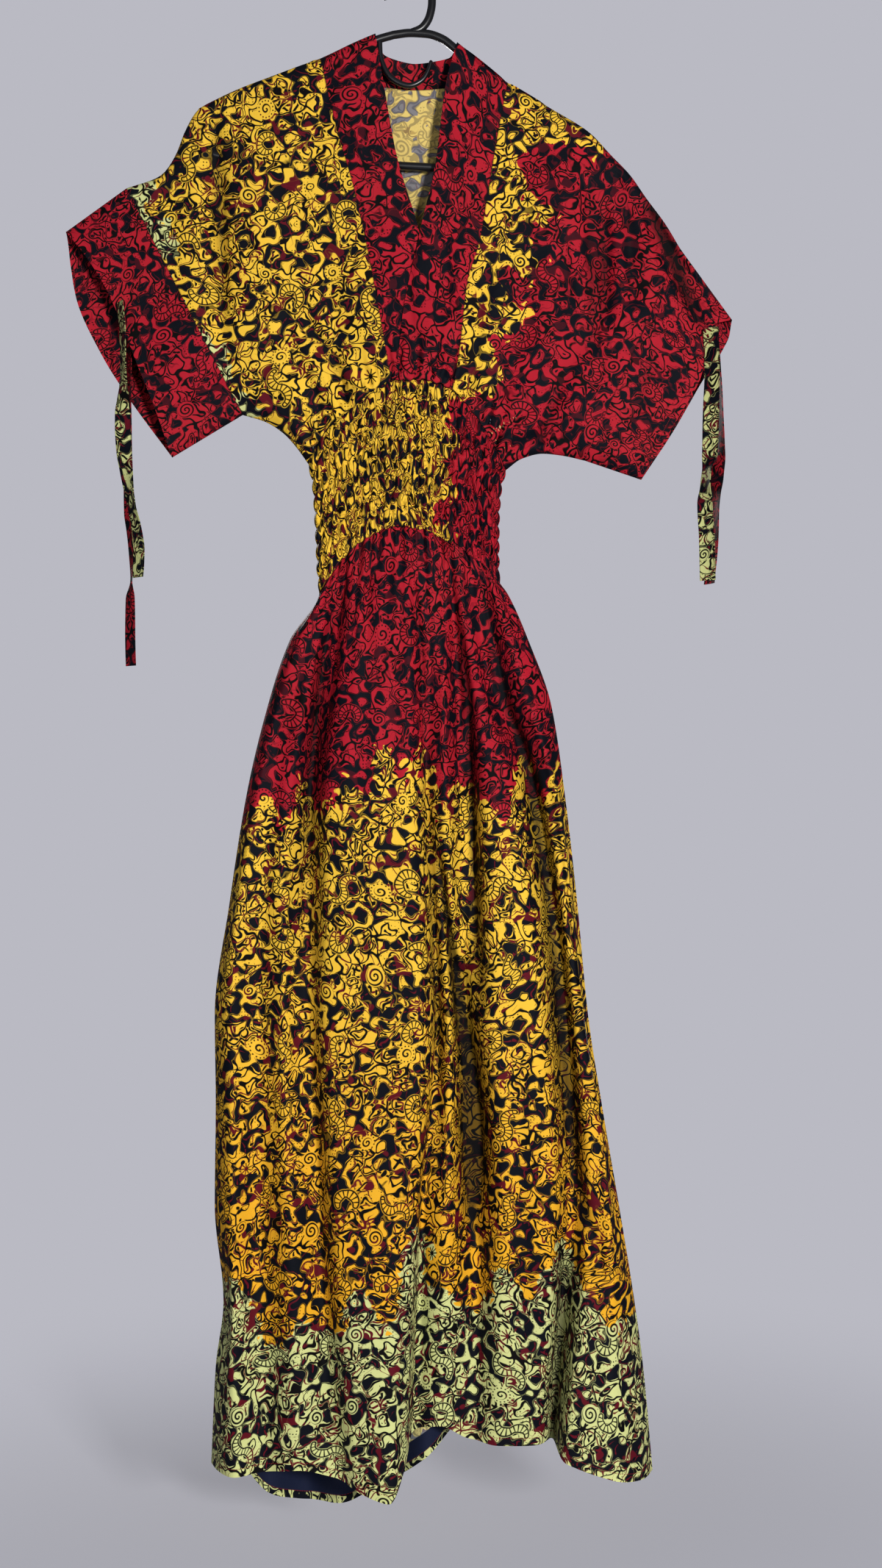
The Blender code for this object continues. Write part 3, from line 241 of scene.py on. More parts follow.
# Path of the hanger's frame beyond the arms: (x, drop)
NECK_PATH = ((-14, 73), (3, 71), (21, 72), (36, 77))
LEFT_BEND = ((-215.5, 163), (-217.5, 174), (-214, 186), (-205, 195), (-193, 198.5))
RIGHT_BEND = ((177, 218), (188, 215.5), (195, 207), (195.5, 196), (190.5, 186))
ARM_REACH = {"left": 216, "right": 188}    # how far out the straight arms go
HOOK_SWEEP = 206.0     # degrees of the hook's arc
STEM_PATH = ((25.6, 40), (23, 54), (15, 66), (4, 71))
LOOP_PATH = ((-29, 79), (-28.5, 92), (-24, 107), (-13, 120), (2, 125.5), (15, 120),
             (22, 109), (24.5, 101))
LOOP_RADII = (3.2, 3.2, 3.2, 3.1, 3.0, 2.8, 2.4, 1.9)

# Thin pull lines that only show in the cloth: (name, x, drop, end x, end drop, out, width)
PULLS = {
    "front": (
        ("left_strap", -78, 120, -120, 300, -1.6, 7),
        ("left_arm_top", -205, 160, -232, 300, 1.6, 9),
        ("left_arm_fold", -250, 236, -232, 360, -2.0, 8),
        ("left_hip_pull", -100, 500, -165, 440, 1.8, 7),
        ("left_under", -150, 470, -215, 430, -1.8, 8),
        ("left_low_chest", -120, 330, -70, 430, -1.5, 9),
        ("left_side_line", -168, 300, -150, 440, 1.4, 9),
        ("right_strap", 106, 140, 132, 300, -1.5, 8),
        ("right_arm_ridge", 232, 232, 258, 330, 2.2, 8),
        ("right_arm_low", 268, 330, 232, 460, -2.0, 10),
        ("right_chest_line", 136, 300, 108, 420, -1.6, 9),
        ("right_hip_pull", 104, 505, 176, 452, 1.8, 7),
        ("right_under", 150, 500, 226, 470, -1.8, 8),
        ("right_mid", 196, 300, 178, 430, 1.6, 11),
    ),
    "back": (
        ("left_pull", -96, 505, -164, 430, 1.8, 8),
        ("left_line", -140, 250, -120, 430, -1.6, 10),
        ("centre_line", 8, 240, 2, 420, 1.4, 16),
        ("right_line", 132, 260, 112, 430, -1.6, 10),
        ("right_pull", 98, 510, 172, 440, 1.8, 8),
        ("right_arm", 236, 240, 262, 360, -2.0, 9),
    ),
}

# Where the print changes colour: closed outlines in the hanger's plane, (x, drop)
YELLOW_ON_RIGHT = (
    (96, 60), (216, 160), (200, 200), (170, 188), (146, 176), (128, 186), (115, 200),
    (122, 240), (146, 258), (143, 273), (118, 267), (143, 304), (128, 325), (100, 316),
    (103, 345), (128, 360), (105, 382), (80, 371), (99, 427), (88, 441), (40, 460), (20, 200),
)
LIME_ON_LEFT = (
    (-310, 215), (-262, 215), (-253, 236), (-268, 250), (-271, 262), (-250, 268), (-235, 284),
    (-239, 300), (-256, 310), (-236, 350), (-222, 374), (-203, 378), (-194, 394), (-182, 404),
    (-177, 422), (-187, 440), (-166, 446), (-148, 460), (-158, 482), (-260, 482),
)
YELLOW_ON_WAIST = (
    (-120, 420), (66, 420), (62, 438), (43, 457), (47, 498), (35, 515), (51, 542), (25, 564),
    (30, 581), (45, 591), (43, 630), (-120, 680),
)
RED_ON_SKIRT = {
    "front": ((-260, 560), (260, 560), (226, 874), (206, 882), (180, 880), (150, 826), (134, 876),
              (116, 818), (100, 888), (76, 862), (53, 842), (35, 880), (14, 815), (1, 823),
              (-8, 856), (-25, 808), (-41, 860), (-59, 832), (-90, 884), (-112, 847), (-132, 896),
              (-145, 857), (-169, 888), (-190, 878), (-260, 880)),
    "back": ((-260, 560), (260, 560), (230, 876), (196, 842), (170, 892), (140, 834), (112, 884),
             (84, 850), (56, 898), (30, 822), (6, 872), (-20, 838), (-44, 890), (-70, 846),
             (-96, 876), (-122, 826), (-150, 888), (-176, 850), (-200, 880), (-260, 870)),
}
LIME_ON_SKIRT = {
    "front": ((-300, 1700), (-300, 1380), (-193, 1366), (-179, 1343), (-146, 1430), (-102, 1400),
              (-75, 1418), (-47, 1362), (-19, 1424), (-5, 1330), (9, 1297), (27, 1360),
              (71, 1396), (102, 1349), (130, 1376), (161, 1315), (187, 1374), (207, 1418),
              (232, 1386), (300, 1400), (300, 1700)),
    "back": ((-300, 1700), (-300, 1372), (-200, 1392), (-172, 1350), (-140, 1420), (-104, 1342),
             (-70, 1404), (-34, 1330), (-4, 1412), (34, 1352), (66, 1424), (104, 1338),
             (140, 1406), (176, 1350), (214, 1412), (300, 1380), (300, 1700)),
}
RED_ON_BACK = ((128, 60), (106, 130), (126, 190), (84, 250), (70, 300), (28, 360), (38, 410),
               (10, 470), (34, 520), (6, 560), (40, 600), (12, 700), (500, 700), (500, 60))
ORANGE_FROM = 980.0    # drop where the skirt's yellow starts to turn to orange
ORANGE_REACH = 360.0   # height over which it turns

# Narrow valleys along bent lines, where they show from the front: points of
# (x, drop, depth, half width)
VALLEYS = {
    "skirt_front": {
        "left_main": ((-64, 637, 3, 4), (-87, 706, 7, 5), (-96, 782, 9, 5), (-102, 858, 8, 5),
                      (-105, 949, 5, 6), (-103, 1025, 2, 7)),
        "left_second": ((-116, 827, 2, 5), (-121, 949, 3.5, 5), (-117, 1139, 2.5, 6),
                        (-119, 1253, 1, 7)),
        "left_upper": ((-129, 706, 1.5, 4), (-136, 797, 2.5, 5), (-140, 860, 1, 6)),
        "centre": ((5, 637, 3, 3), (14, 706, 5, 3.5), (17, 797, 5, 3.5), (20, 858, 5, 3.5),
                   (26, 949, 6, 4), (27, 1025, 7, 4), (33, 1131, 6, 4.5), (33, 1268, 3, 6)),
        "slit": ((33, 926, 6, 3), (43, 994, 12, 3), (54, 1078, 18, 4), (65, 1139, 21, 5),
                 (68, 1192, 23, 7), (69, 1253, 19, 7), (65, 1306, 6, 6)),
        "beside_slit": ((56, 690, 5, 3), (65, 766, 9, 3.5), (67, 858, 10, 3.5), (71, 934, 11, 4),
                        (73, 1017, 9, 4), (76, 1075, 4, 5)),
        "long": ((77, 637, 4, 4), (92, 706, 7, 4.5), (105, 766, 9, 5), (120, 804, 11, 5),
                 (128, 842, 11, 5.5), (138, 911, 10, 6), (149, 987, 9, 7), (158, 1086, 10, 8),
                 (168, 1177, 10, 8), (176, 1245, 8, 7), (189, 1306, 6, 6), (204, 1363, 2, 6)),
        "low_right": ((150, 1291, 2, 4), (161, 1344, 7, 4), (160, 1405, 9, 4), (155, 1466, 9, 4),
                      (153, 1534, 9, 4)),
        "low_centre": ((-3, 1283, 2, 5), (-5, 1390, 4, 5), (-6, 1542, 3, 5)),
        "low_lobe": ((16, 1329, 2, 4), (14, 1458, 3, 4), (13, 1530, 2, 4)),
        "low_middle": ((73, 1321, 3, 5), (73, 1443, 2.5, 5), (74, 1520, 2, 5)),
        "right_faint": ((113, 1086, 2, 6), (120, 1283, 3, 7), (118, 1420, 2, 8)),
        "left_low": ((-136, 1017, 2, 6), (-138, 1177, 3, 6), (-135, 1298, 2, 6),
                     (-140, 1500, 2.5, 7)),
        "left_lobe": ((-98, 1124, 2.5, 6), (-93, 1222, 3, 6), (-88, 1380, 3, 6),
                      (-85, 1530, 2.5, 6)),
        "store_line": ((-178, 1321, 1, 2.5), (-117, 1329, 1.6, 2.5), (-64, 1333, 1, 2.5)),
        "gather_one": ((-41, 637, 3, 3), (-43, 698, 2, 4)),
        "gather_two": ((35, 645, 2.5, 3), (39, 721, 2, 3.5)),
        "gather_three": ((50, 660, 3.5, 3), (56, 766, 3, 3.5), (52, 830, 1, 4)),
        "gather_four": ((-20, 620, 2.5, 3), (-24, 690, 2, 4), (-30, 760, 1, 5)),
    },
    "skirt_back": {
        "left": ((-70, 650, 4, 4), (-98, 740, 7, 5), (-116, 858, 8, 5), (-138, 1010, 6, 6),
                 (-144, 1200, 4, 7)),
        "left_low": ((-58, 1130, 3, 5), (-62, 1290, 8, 5), (-66, 1440, 9, 6), (-66, 1560, 6, 7)),
        "middle": ((4, 650, 3, 3), (8, 760, 5, 4), (12, 900, 7, 4), (15, 1080, 6, 5),
                   (18, 1260, 3, 6)),
        "right": ((48, 650, 4, 4), (64, 740, 7, 4), (80, 870, 9, 5), (94, 1060, 9, 6),
                  (104, 1280, 7, 7), (108, 1480, 4, 8)),
        "right_low": ((160, 1130, 2, 6), (184, 1280, 5, 6), (204, 1450, 6, 7)),
        "gather_one": ((-30, 650, 3, 3), (-34, 730, 2, 4)),
        "gather_two": ((26, 650, 3, 3), (30, 740, 2, 4)),
    },
    "front": {
        "left_hanger": ((-199, 158, 2, 3.5), (-196, 210, 4, 4), (-193, 267, 4, 4),
                        (-190, 333, 3, 4), (-192, 390, 1, 5)),
        "left_arm": ((-218, 148, 2, 4), (-222, 178, 1.5, 5)),
        "right_thin": ((203, 257, 2, 3), (204, 310, 4.5, 3.5), (204, 362, 2, 4)),
        "right_mid": ((187, 235, 2, 5), (189, 310, 3.5, 5), (192, 395, 2, 6)),
        "right_sleeve": ((243, 234, 3, 4), (257, 266, 6, 5), (269, 290, 7, 5), (288, 341, 6, 5),
                         (302, 374, 3, 5)),
        "right_streak": ((227, 246, 1, 5), (230, 300, 3, 6), (233, 345, 2, 6)),
        "right_inner": ((161, 285, 1, 5), (164, 330, 2.5, 6), (167, 375, 1, 6)),
        "right_low": ((262, 380, 1, 6), (246, 430, 3, 7), (232, 470, 2, 7)),
        "right_top": ((217, 224, 2, 4), (222, 267, 1, 5)),
        "band_crossing": ((5, 300, 1, 3), (3, 352, 1.8, 3), (8, 390, 2, 3), (7, 424, 2, 3)),
        "band_right": ((39, 267, 1, 4), (43, 362, 1.5, 4)),
        "left_pull": ((-110, 362, 1, 6), (-75, 414, 3, 5), (-60, 450, 2, 4)),
        "right_pull": ((176, 400, 1, 6), (150, 456, 3, 6), (138, 490, 3, 5)),
    },
    "back": {
        "left_hanger": ((-194, 170, 2, 4), (-190, 240, 4, 4), (-186, 330, 3, 5)),
        "right_hanger": ((200, 230, 2, 4), (201, 300, 4, 4), (200, 370, 2, 5)),
        "left_pull": ((-120, 380, 1, 6), (-86, 456, 3, 5), (-74, 496, 2, 4)),
        "right_pull": ((130, 380, 1, 6), (94, 462, 3, 5), (82, 500, 2, 4)),
    },
}
VALLEY_GROWTH = {"skirt_front": (1.8, 1.6), "skirt_back": (1.6, 1.5), "front": (2.5, 1.75),
                 "back": (1.7, 1.5)}
# Depths of a trough where its painted shade starts and how much deeper it is full, in millimetres
SHADE_REACH = {"skirt_front": (3, 16), "skirt_back": (3, 16), "front": (1.5, 13),
               "back": (1.5, 13)}
SHADE_MOST = 0.86      # share of black laid over the print in the deepest trough, as painted shade
TIE_COLOURS = {        # (red, lime) zones, as signed metres inside them
    "tie_left_front": (-1.0, 1.0),
    "tie_left_back": (1.0, -1.0),
    "tie_right_front": (-1.0, 1.0),
    "tie_right_back": (1.0, -1.0),
}

# Where on the cloth each piece is cut, in metres
CUT_FROM = {
    "front_left": (0.31, 0.12), "front_right": (1.13, 0.4), "back": (2.2, 0.7),
    "neckband_front_left": (0.65, 1.7), "neckband_front_right": (0.9, 1.7),
    "neckband_behind": (3.1, 0.2),
    "sleeve_cuff_left": (0.4, 2.3), "sleeve_cuff_right": (1.5, 2.9),
    "shirring_front": (0.33, 0.1), "shirring_back": (0.33, 0.1),
    "skirt_cloth_front": (0.0, 0.0), "skirt_cloth_back": (1.7, 0.0),
    "tie_left_front_cloth": (5.18, 3.71), "tie_left_back_cloth": (4.81, 3.71),
    "tie_right_front_cloth": (5.55, 3.3), "tie_right_back_cloth": (5.18, 3.3),
}

# Names of the two printed cottons
RED = "red_print_cotton"
LIME = "lime_print_cotton"

# Floor, light and camera, in metres, with the camera level with the middle of the frame
FLOOR = -1.68
FLOOR_HALF = 14.0
FLOOR_FADE = (0.25, 1.3)    # distances between which the floor melts into the world
BACKING = "#babac3"
SKY = "#e2e4ec"
WORLD_LIGHT = 0.2
LIGHTS = (
    # name, place, target, side of the square, watts, colour
    ("key", (1.05, -2.8, -0.6), (0.0, 0.0, -0.95), 0.35, 86.0, "#fffefc"),
    ("fill", (-1.1, -2.8, -0.9), (0.0, 0.0, -0.9), 1.1, 9.0, "#f9fcff"),
    ("behind", (-0.9, 2.6, 0.2), (0.0, 0.0, -0.8), 0.8, 66.0, "#ffffff"),
)
CAMERA_AWAY = 2.0
CAMERA_X = 0.03496
CAMERA_Z = -0.8474
FRAME_HEIGHT = 1.621
SENSOR = 24.0               # height of the camera's sensor, in millimetres
PICTURE = (1152, 2048)


# ---------------------------------------------------------------- curves and surfaces

def smooth(knots, values, at):
    """Monotone cubic through values at knots, read at the places in at: each span is a
    cubic whose end slopes are the harmonic mean of its neighbours' slopes."""
    knots, values, at = (np.asarray(item, float) for item in (knots, values, at))
    step = np.diff(knots)
    slope = (np.diff(values, axis=0).T / step).T
    tangent = np.zeros_like(values)
    product, total = slope[:-1] * slope[1:], slope[:-1] + slope[1:]
    tangent[1:-1] = np.where(product > 0, 2 * product / np.where(total == 0, 1, total), 0)
    tangent[0], tangent[-1] = slope[0], slope[-1]
    cell = np.clip(np.searchsorted(knots, at, side="right") - 1, 0, len(knots) - 2)
    shape = at.shape + (1,) * (values.ndim - 1)
    width = step[cell].reshape(shape)
    t = np.clip((at - knots[cell]) / step[cell], 0, 1).reshape(shape)
    start = (1 + 2 * t) * (1 - t) ** 2 * values[cell] + t * (1 - t) ** 2 * width * tangent[cell]
    end = t * t * (3 - 2 * t) * values[cell + 1] - t * t * (1 - t) * width * tangent[cell + 1]
    return start + end


def lengths(points):
    """Distance along a line at each of its points: the sum of its steps so far."""
    return np.r_[0, np.cumsum(np.linalg.norm(np.diff(points, axis=0), axis=1))]


def spread(points, fractions):
    """Points at fractions of the length of a smooth curve through points."""
    points = np.asarray(points, float)
    reach = lengths(points)
    return smooth(reach, points, np.asarray(fractions) * reach[-1])


def dense(points):
    """A curve's points at every 2 % of its length."""
    return spread(points, np.linspace(0, 1, 51))


def ease(value):
    """0 below 0, 1 above 1, and 3v² - 2v³ between."""
    value = np.clip(value, 0, 1)
    return value * value * (3 - 2 * value)


def quarter_turn(ratio):
    """Rise of a quarter circle from 0 to 1."""
    return np.sqrt(1 - (1 - np.clip(ratio, 0, 1)) ** 2)


def unit(vectors):
    """Vectors of length one."""
    return vectors / np.maximum(np.linalg.norm(vectors, axis=-1, keepdims=True), 1e-12)


def near(points, line):
    """Distance from each point to a line of straight stretches, and how far along it: the
    least of the distances to each stretch."""
    line = np.asarray(line, float)
    reach = lengths(line)
    best = np.full(points.shape[:-1], np.inf)
    along = np.zeros(points.shape[:-1])
    for k, (a, b) in enumerate(zip(line[:-1], line[1:])):
        run = b - a
        t = np.clip(((points - a) @ run) / (run @ run), 0, 1)
        off = np.linalg.norm(points - a - t[..., None] * run, axis=-1)
        closer = off < best
        best = np.where(closer, off, best)
        along = np.where(closer, reach[k] + t * (reach[k + 1] - reach[k]), along)
    return best, along


def inside(points, polygon):
    """Signed distance to a closed polygon in metres, positive inside it, where a line
    drawn to the right crosses the polygon an odd number of times."""
    ring = np.asarray(polygon, float)
    ring = np.concatenate((ring, ring[:1]))
    off, _ = near(points, ring)
    x, y = points[..., 0], points[..., 1]
    odd = np.zeros(x.shape, bool)
    for (ax, ay), (bx, by) in zip(ring[:-1], ring[1:]):
        if ay != by:
            crosses = (ay > y) != (by > y)
            odd ^= crosses & (x < ax + (y - ay) * (bx - ax) / (by - ay))
    return np.where(odd, off, -off) * MM


def wobble(value, seed, waves=5):
    """A smooth irregular wave between about -1 and 1: a sum of sines of uneven lengths."""
    rng = np.random.default_rng(seed)
    total = 0
    for _ in range(waves):
        total = total + np.sin(value * rng.uniform(0.5, 2.2) + rng.uniform(0, 6.283))
    return total / math.sqrt(waves) * 0.7


def rumple(x, y, pitch, seed):
    """Soft uneven ground, about -1 to 1: seven waves about a pitch long, each running in
    a direction of its own."""
    rng = np.random.default_rng(seed)
    total = 0
    for _ in range(7):
        angle = rng.uniform(0, math.pi)
        turn = 2 * math.pi / (pitch * rng.uniform(0.7, 1.6))
        total = total + np.sin((x * math.cos(angle) + y * math.sin(angle)) * turn
                               + rng.uniform(0, 6.283))
    return total / 3.2


OUTLINES = [dense(line) for table in (OVERARM, UNDERARM, WAIST_EDGES) for line in table.values()]
WAIST_LINE = {face: dense(line) for face, line in WAIST_TOP.items()}
EDGE_STEPS = EDGE_ROUND * (1 - np.cos(np.linspace(0, np.pi / 2, 9)))


def creased(points, creases):
    """Sum of soft troughs and ridges: a bell across each line, half a sine along it."""
    out = np.zeros(points.shape[:-1])
    for _, x, drop, end_x, end_drop, height, half_width in creases:
        start = np.array((x, drop), float)
        run = np.array((end_x, end_drop), float) - start
        t = np.clip(((points - start) @ run) / (run @ run), 0, 1)
        off = np.linalg.norm(points - start - t[..., None] * run, axis=-1)
        wave = CREASE_ENDS[0] + (CREASE_ENDS[1] - CREASE_ENDS[0]) * t
        out += height * np.exp(-(off / half_width) ** 2) * np.sin(np.pi * wave)
    return out


def valleys(points, face):
    """Sum of narrow troughs that follow bent lines, below 0: each falls to its depth in a
    sharp bottom, between a bell and a tent."""
    out = np.zeros(points.shape[:-1])
    deeper, wider = VALLEY_GROWTH[face]
    for line in VALLEYS[face].values():
        table = np.array(line, float)
        off, along = near(points, table[:, :2])
        reach = lengths(table[:, :2])
        depth = np.interp(along, reach, table[:, 2])
        ratio = off / np.interp(along, reach, table[:, 3]) / wider
        out -= depth * np.exp(0.1 - (ratio ** 2 + 0.03) ** 0.68)
    return out * deeper


def fold_shade(points, face):
    """How much painted shade a narrow trough lays into the print's colour, from its depth: 0 on
    the open cloth, and SHADE_MOST in the deepest."""
    start, reach = SHADE_REACH[face]
    return SHADE_MOST * ease((-valleys(points, face) - start) / reach)


def fine_creases(points, face):
    """What the coarse solids leave out: pleats that fan up from the shirred waist, thin
    pull lines and the unevenness of pressed cotton. Each pleat is a cosine along the
    waist that dies away with height."""
    height, along = near(points, WAIST_LINE[face])
    seed = 3 if face == "front" else 9
    sway = wobble(along / 26, seed) * 3 + wobble(height / 38, seed + 1) * 1.6
    pleats = np.cos((along + sway) * 2 * np.pi / 9.6)
    wide = np.cos((along * 1.0 + 9 * wobble(along / 40, seed + 2)) * 2 * np.pi / 23
                  + 0.7 * wobble(height / 60, seed + 3))
    out = 2.4 * pleats * (0.55 + 0.45 * wobble(along / 18, seed + 4)) * np.exp(-height / 30)
    out += 2.8 * wide * (0.6 + 0.4 * wobble(along / 31, seed + 5)) * np.exp(-height / 80)
    out += 0.9 * rumple(points[..., 0], points[..., 1] * 0.55, 46, seed + 6)
    out += 0.3 * rumple(points[..., 0], points[..., 1], 19, seed + 7)
    return out + creased(points, PULLS[face]) + valleys(points, face)


def bodice_out(points, face, detail=True):
    """Distance of the bodice from the hanger's plane: a quarter round at its outlines that
    deepens towards the waist, a swell at the chest, the solids' soft creases and, with
    detail, the fine ones."""
    edge = np.min([near(points, line)[0] for line in OUTLINES], axis=0)
    fill = ease(1 - near(points, WAIST_LINE["front"])[0] / WAIST_REACH)
    depth = FLAT_DEPTH + (WAIST_DEPTH - FLAT_DEPTH) * fill
    reach = EDGE_ROUND + (WAIST_HALF - EDGE_ROUND) * fill
    within = ease(edge / CREASE_FADE)
    swell = CHEST_SWELL * (1 - fill) * ease(edge / CHEST_REACH)
    out = depth * quarter_turn(edge / reach) + swell + within * creased(points, CREASES[face])
    if detail:
        out = np.maximum(out + within * fine_creases(points, face), FINE_LEAST * out)
    return out


def waist_sides(drop):
    """The left and right x of the waist at each drop."""
    sides = np.asarray(WAIST_SIDES, float)
    return smooth(sides[:, 0], sides[:, 1], drop), smooth(sides[:, 0], sides[:, 2], drop)


def waist_out(x, drop):
    """Distance of the waist from the hanger's plane: half an oval."""
    left, right = waist_sides(drop)
    across = (2 * x - left - right) / (right - left)
    return WAIST_DEPTH * np.sqrt(np.clip(1 - across ** 2, 0, 1))


def place(x, drop, out):
    """World points in metres; out is positive towards the front."""
    return np.stack((x, -out, -drop), axis=-1) * MM


def seen(face, x, drop, out):
    """Where a point of the front shows on the hanger's plane from straight in front; the
    back's points stay where they are."""
    if face == "back":
        return np.stack((x, drop), axis=-1)
    grow = 1 / (1 - out / (CAMERA_AWAY / MM))
    middle, level = CAMERA_X / MM, -CAMERA_Z / MM
    return np.stack((middle + (x - middle) * grow, level + (drop - level) * grow), axis=-1)


def waist_seam_points(line):
    """Points of a waist seam, evenly spaced round the oval, with small puckers."""
    angle = np.linspace(0, 1, 401) * np.pi
    oval = np.stack((-np.cos(angle), WAIST_DEPTH / WAIST_HALF * np.sin(angle)), axis=-1)
    across = spread(oval, np.linspace(0, 1, WAIST_SPANS * FINE + 1))[:, 0]
    line = np.asarray(line, float)
    x = (line[-1, 0] + line[0, 0]) / 2 + across * (line[-1, 0] - line[0, 0]) / 2
    span = np.linspace(0, WAIST_SPANS, len(x))
    held = ease(np.minimum(span, WAIST_SPANS - span) / 2)
    pucker = 0.9 * np.cos(2 * np.pi * span * 1.12) + 0.8 * wobble(span * 2.3, round(line[1, 1]))
    return np.stack((x, smooth(line[:, 0], line[:, 1], x) + held * pucker), axis=-1)


# ---------------------------------------------------------------- meshes of cloth

def put(name, data):
    """An object at the origin that holds a mesh, lamp or camera."""
    thing = bpy.data.objects.new(name, data)
    bpy.context.scene.collection.objects.link(thing)
    return thing


def zones(**known):
    """The named numbers that the print's material reads at each point, with plain values
    for those that aren't known. All but warm and fold are distances in metres. A small seam
    value lays a painted shadow line into the print, and fold the painted shade of a deep trough."""
    plain = dict(red=-1.0, lime=-1.0, warm=0.0, seam=1.0, stitch=1.0, run=0.0, hem=1.0, fold=0.0)
    return plain | known


def surface_normals(grid, ring, front):
    """Normals of a grid of points from the cross product of its two directions, pointing
    away from the inside of the garment."""
    if ring:
        around = np.roll(grid, -1, axis=1) - np.roll(grid, 1, axis=1)
    else:
        around = np.gradient(grid, axis=1)
    normals = unit(np.cross(np.gradient(grid, axis=0), around))
    if ring:
        facing = np.sum(normals * (grid - grid.mean(axis=1, keepdims=True)))
    else:
        facing = -normals[..., 1].sum() * front
    return normals if facing > 0 else -normals


def quads(table):
    """The four-cornered faces of a grid of point numbers."""
    return np.stack((table[:-1, :-1], table[:-1, 1:], table[1:, 1:], table[1:, :-1]),
                    axis=-1).reshape(-1, 4)


def shell(name, grid, front, uv, values, materials=None, thickness=SHELL, wrap_uv=None):
    """A thin closed shell of cloth: its outer grid of points, the same grid moved in by
    the thickness, and a rim. uv is the place on the cut in metres, wrap_uv closes it
    round a tube, and values are named numbers at each point. The inner face has the
    print's right side too, as on a folded strip, unless both faces' materials are given."""
    rows, columns = grid.shape[:2]
    base = rows * columns
    ring = wrap_uv is not None
    normals = surface_normals(grid, ring, front)
    index = np.arange(base).reshape(rows, columns)
    if ring:
        index = np.concatenate((index, index[:, :1]), axis=1)
        uv = np.concatenate((uv, wrap_uv[:, None]), axis=1)
    count = index.shape[1]
    spot = np.arange(rows * count).reshape(rows, count)
    outer, outer_spot = quads(index), quads(spot)
    corner = grid.reshape(-1, 3)[outer[:, :3]]
    across, down = corner[:, 1] - corner[:, 0], corner[:, 2] - corner[:, 0]
    facing = np.cross(across, down) * normals.reshape(-1, 3)[outer[:, 0]]
    flipped = facing.sum() < 0
    if flipped:
        outer, outer_spot = outer[:, ::-1], outer_spot[:, ::-1]
    faces, spots = [outer, outer[:, ::-1] + base], [outer_spot, outer_spot[:, ::-1]]
    borders = [(index[0], spot[0], False), (index[-1], spot[-1], True)]
    if not ring:
        borders += [(index[:, 0], spot[:, 0], True), (index[:, -1], spot[:, -1], False)]
    for line, line_spot, turn in borders:
        a, b, p, q = line[:-1], line[1:], line_spot[:-1], line_spot[1:]
        order = -1 if turn != flipped else 1
        faces.append(np.stack((b, a, a + base, b + base), axis=-1)[:, ::order])
        spots.append(np.stack((q, p, p, q), axis=-1)[:, ::order])
    faces, spots = np.concatenate(faces), np.concatenate(spots)
    is_inner = np.zeros(len(faces), np.int32)
    is_inner[len(outer):2 * len(outer)] = 1

    mesh = bpy.data.meshes.new(name)
    points = np.concatenate((grid, grid - thickness * MM * normals)).reshape(-1, 3)
    mesh.from_pydata(points.tolist(), [], faces.tolist())
    for finish in materials or (PRINT, PRINT):
        mesh.materials.append(finish)
    mesh.polygons.foreach_set("material_index", is_inner)
    mesh.shade_smooth()
    mesh.set_sharp_from_angle(angle=math.radians(62))
    flat = spots.reshape(-1)
    on_cloth = (uv + CUT_FROM[name]).reshape(-1, 2)[flat]
    share = np.stack(((flat % count) / (count - 1), 1 - (flat // count) / (rows - 1)), axis=-1)
    half = np.where(np.repeat(is_inner, 4)[:, None], BAKE_INNER, BAKE_OUTER)
    baked = np.stack((half[:, 0] + half[:, 1] * share[:, 0], 0.005 + 0.99 * share[:, 1]), axis=-1)
    for layer, sites in (("Cloth", on_cloth), ("OFBake", baked)):
        data = mesh.uv_layers.new(name=layer).data
        data.foreach_set("uv", sites.astype(np.float32).reshape(-1))
    for key, value in values.items():
        both = np.tile(np.broadcast_to(value, (rows, columns)).reshape(-1), 2)
        mesh.attributes.new(key, "FLOAT", "POINT").data.foreach_set(
            "value", both.astype(np.float32))
    return put(name, mesh)


# ---------------------------------------------------------------- materials

INK_NAVY = "#070a13"
INK_BLACK = "#060405"
INK_MAROON = "#600e1c"
GROUND_RED = "#ae1a2b"
GROUND_YELLOW = "#f1c23c"
GROUND_ORANGE = "#edad26"
GROUND_LIME = "#cfd38c"
GROUND_DUSK = "#784614"       # darkens the ground a little in broad clouds
REVERSE_INK = "#546286"
REVERSE_LINE = "#2c2c3e"
REVERSE_PALE = "#e0cc84"
SELVEDGE = "#181e34"
THREAD = "#781822"
BLACK_PLASTIC = "#101014"
TURN = 6.2832

# Soft noises that vary the print: hills in a metre of cloth, which are 29, 26, 29 and
# 18 mm wide, and a shift in metres that keeps each one apart
CLOUDS = {"mask": (34.0, (0, 0, 0)), "fat": (38.0, (2.9, 0.7, 0)),
          "other": (34.0, (5.1, 2.2, 0)), "stain": (55.0, (1.3, 7.7, 0))}
# Noises that bend the print: hills in a metre, 71 and 13 mm wide, and how far in metres
# each bends the curls and coils, and the islands
BENDS = ((14.0, 0.014, 0.017), (76.0, 0.0, 0.013))
# Hills in a metre and layers of detail: of the ragged meeting of two grounds, 33 mm wide,
# of the uneven dye, 111 mm, and of the cotton's nap, 7 mm
ROUGH, DYE, NAP = (30.0, 2.0), (9.0, 3.0), (140.0, 3.0)
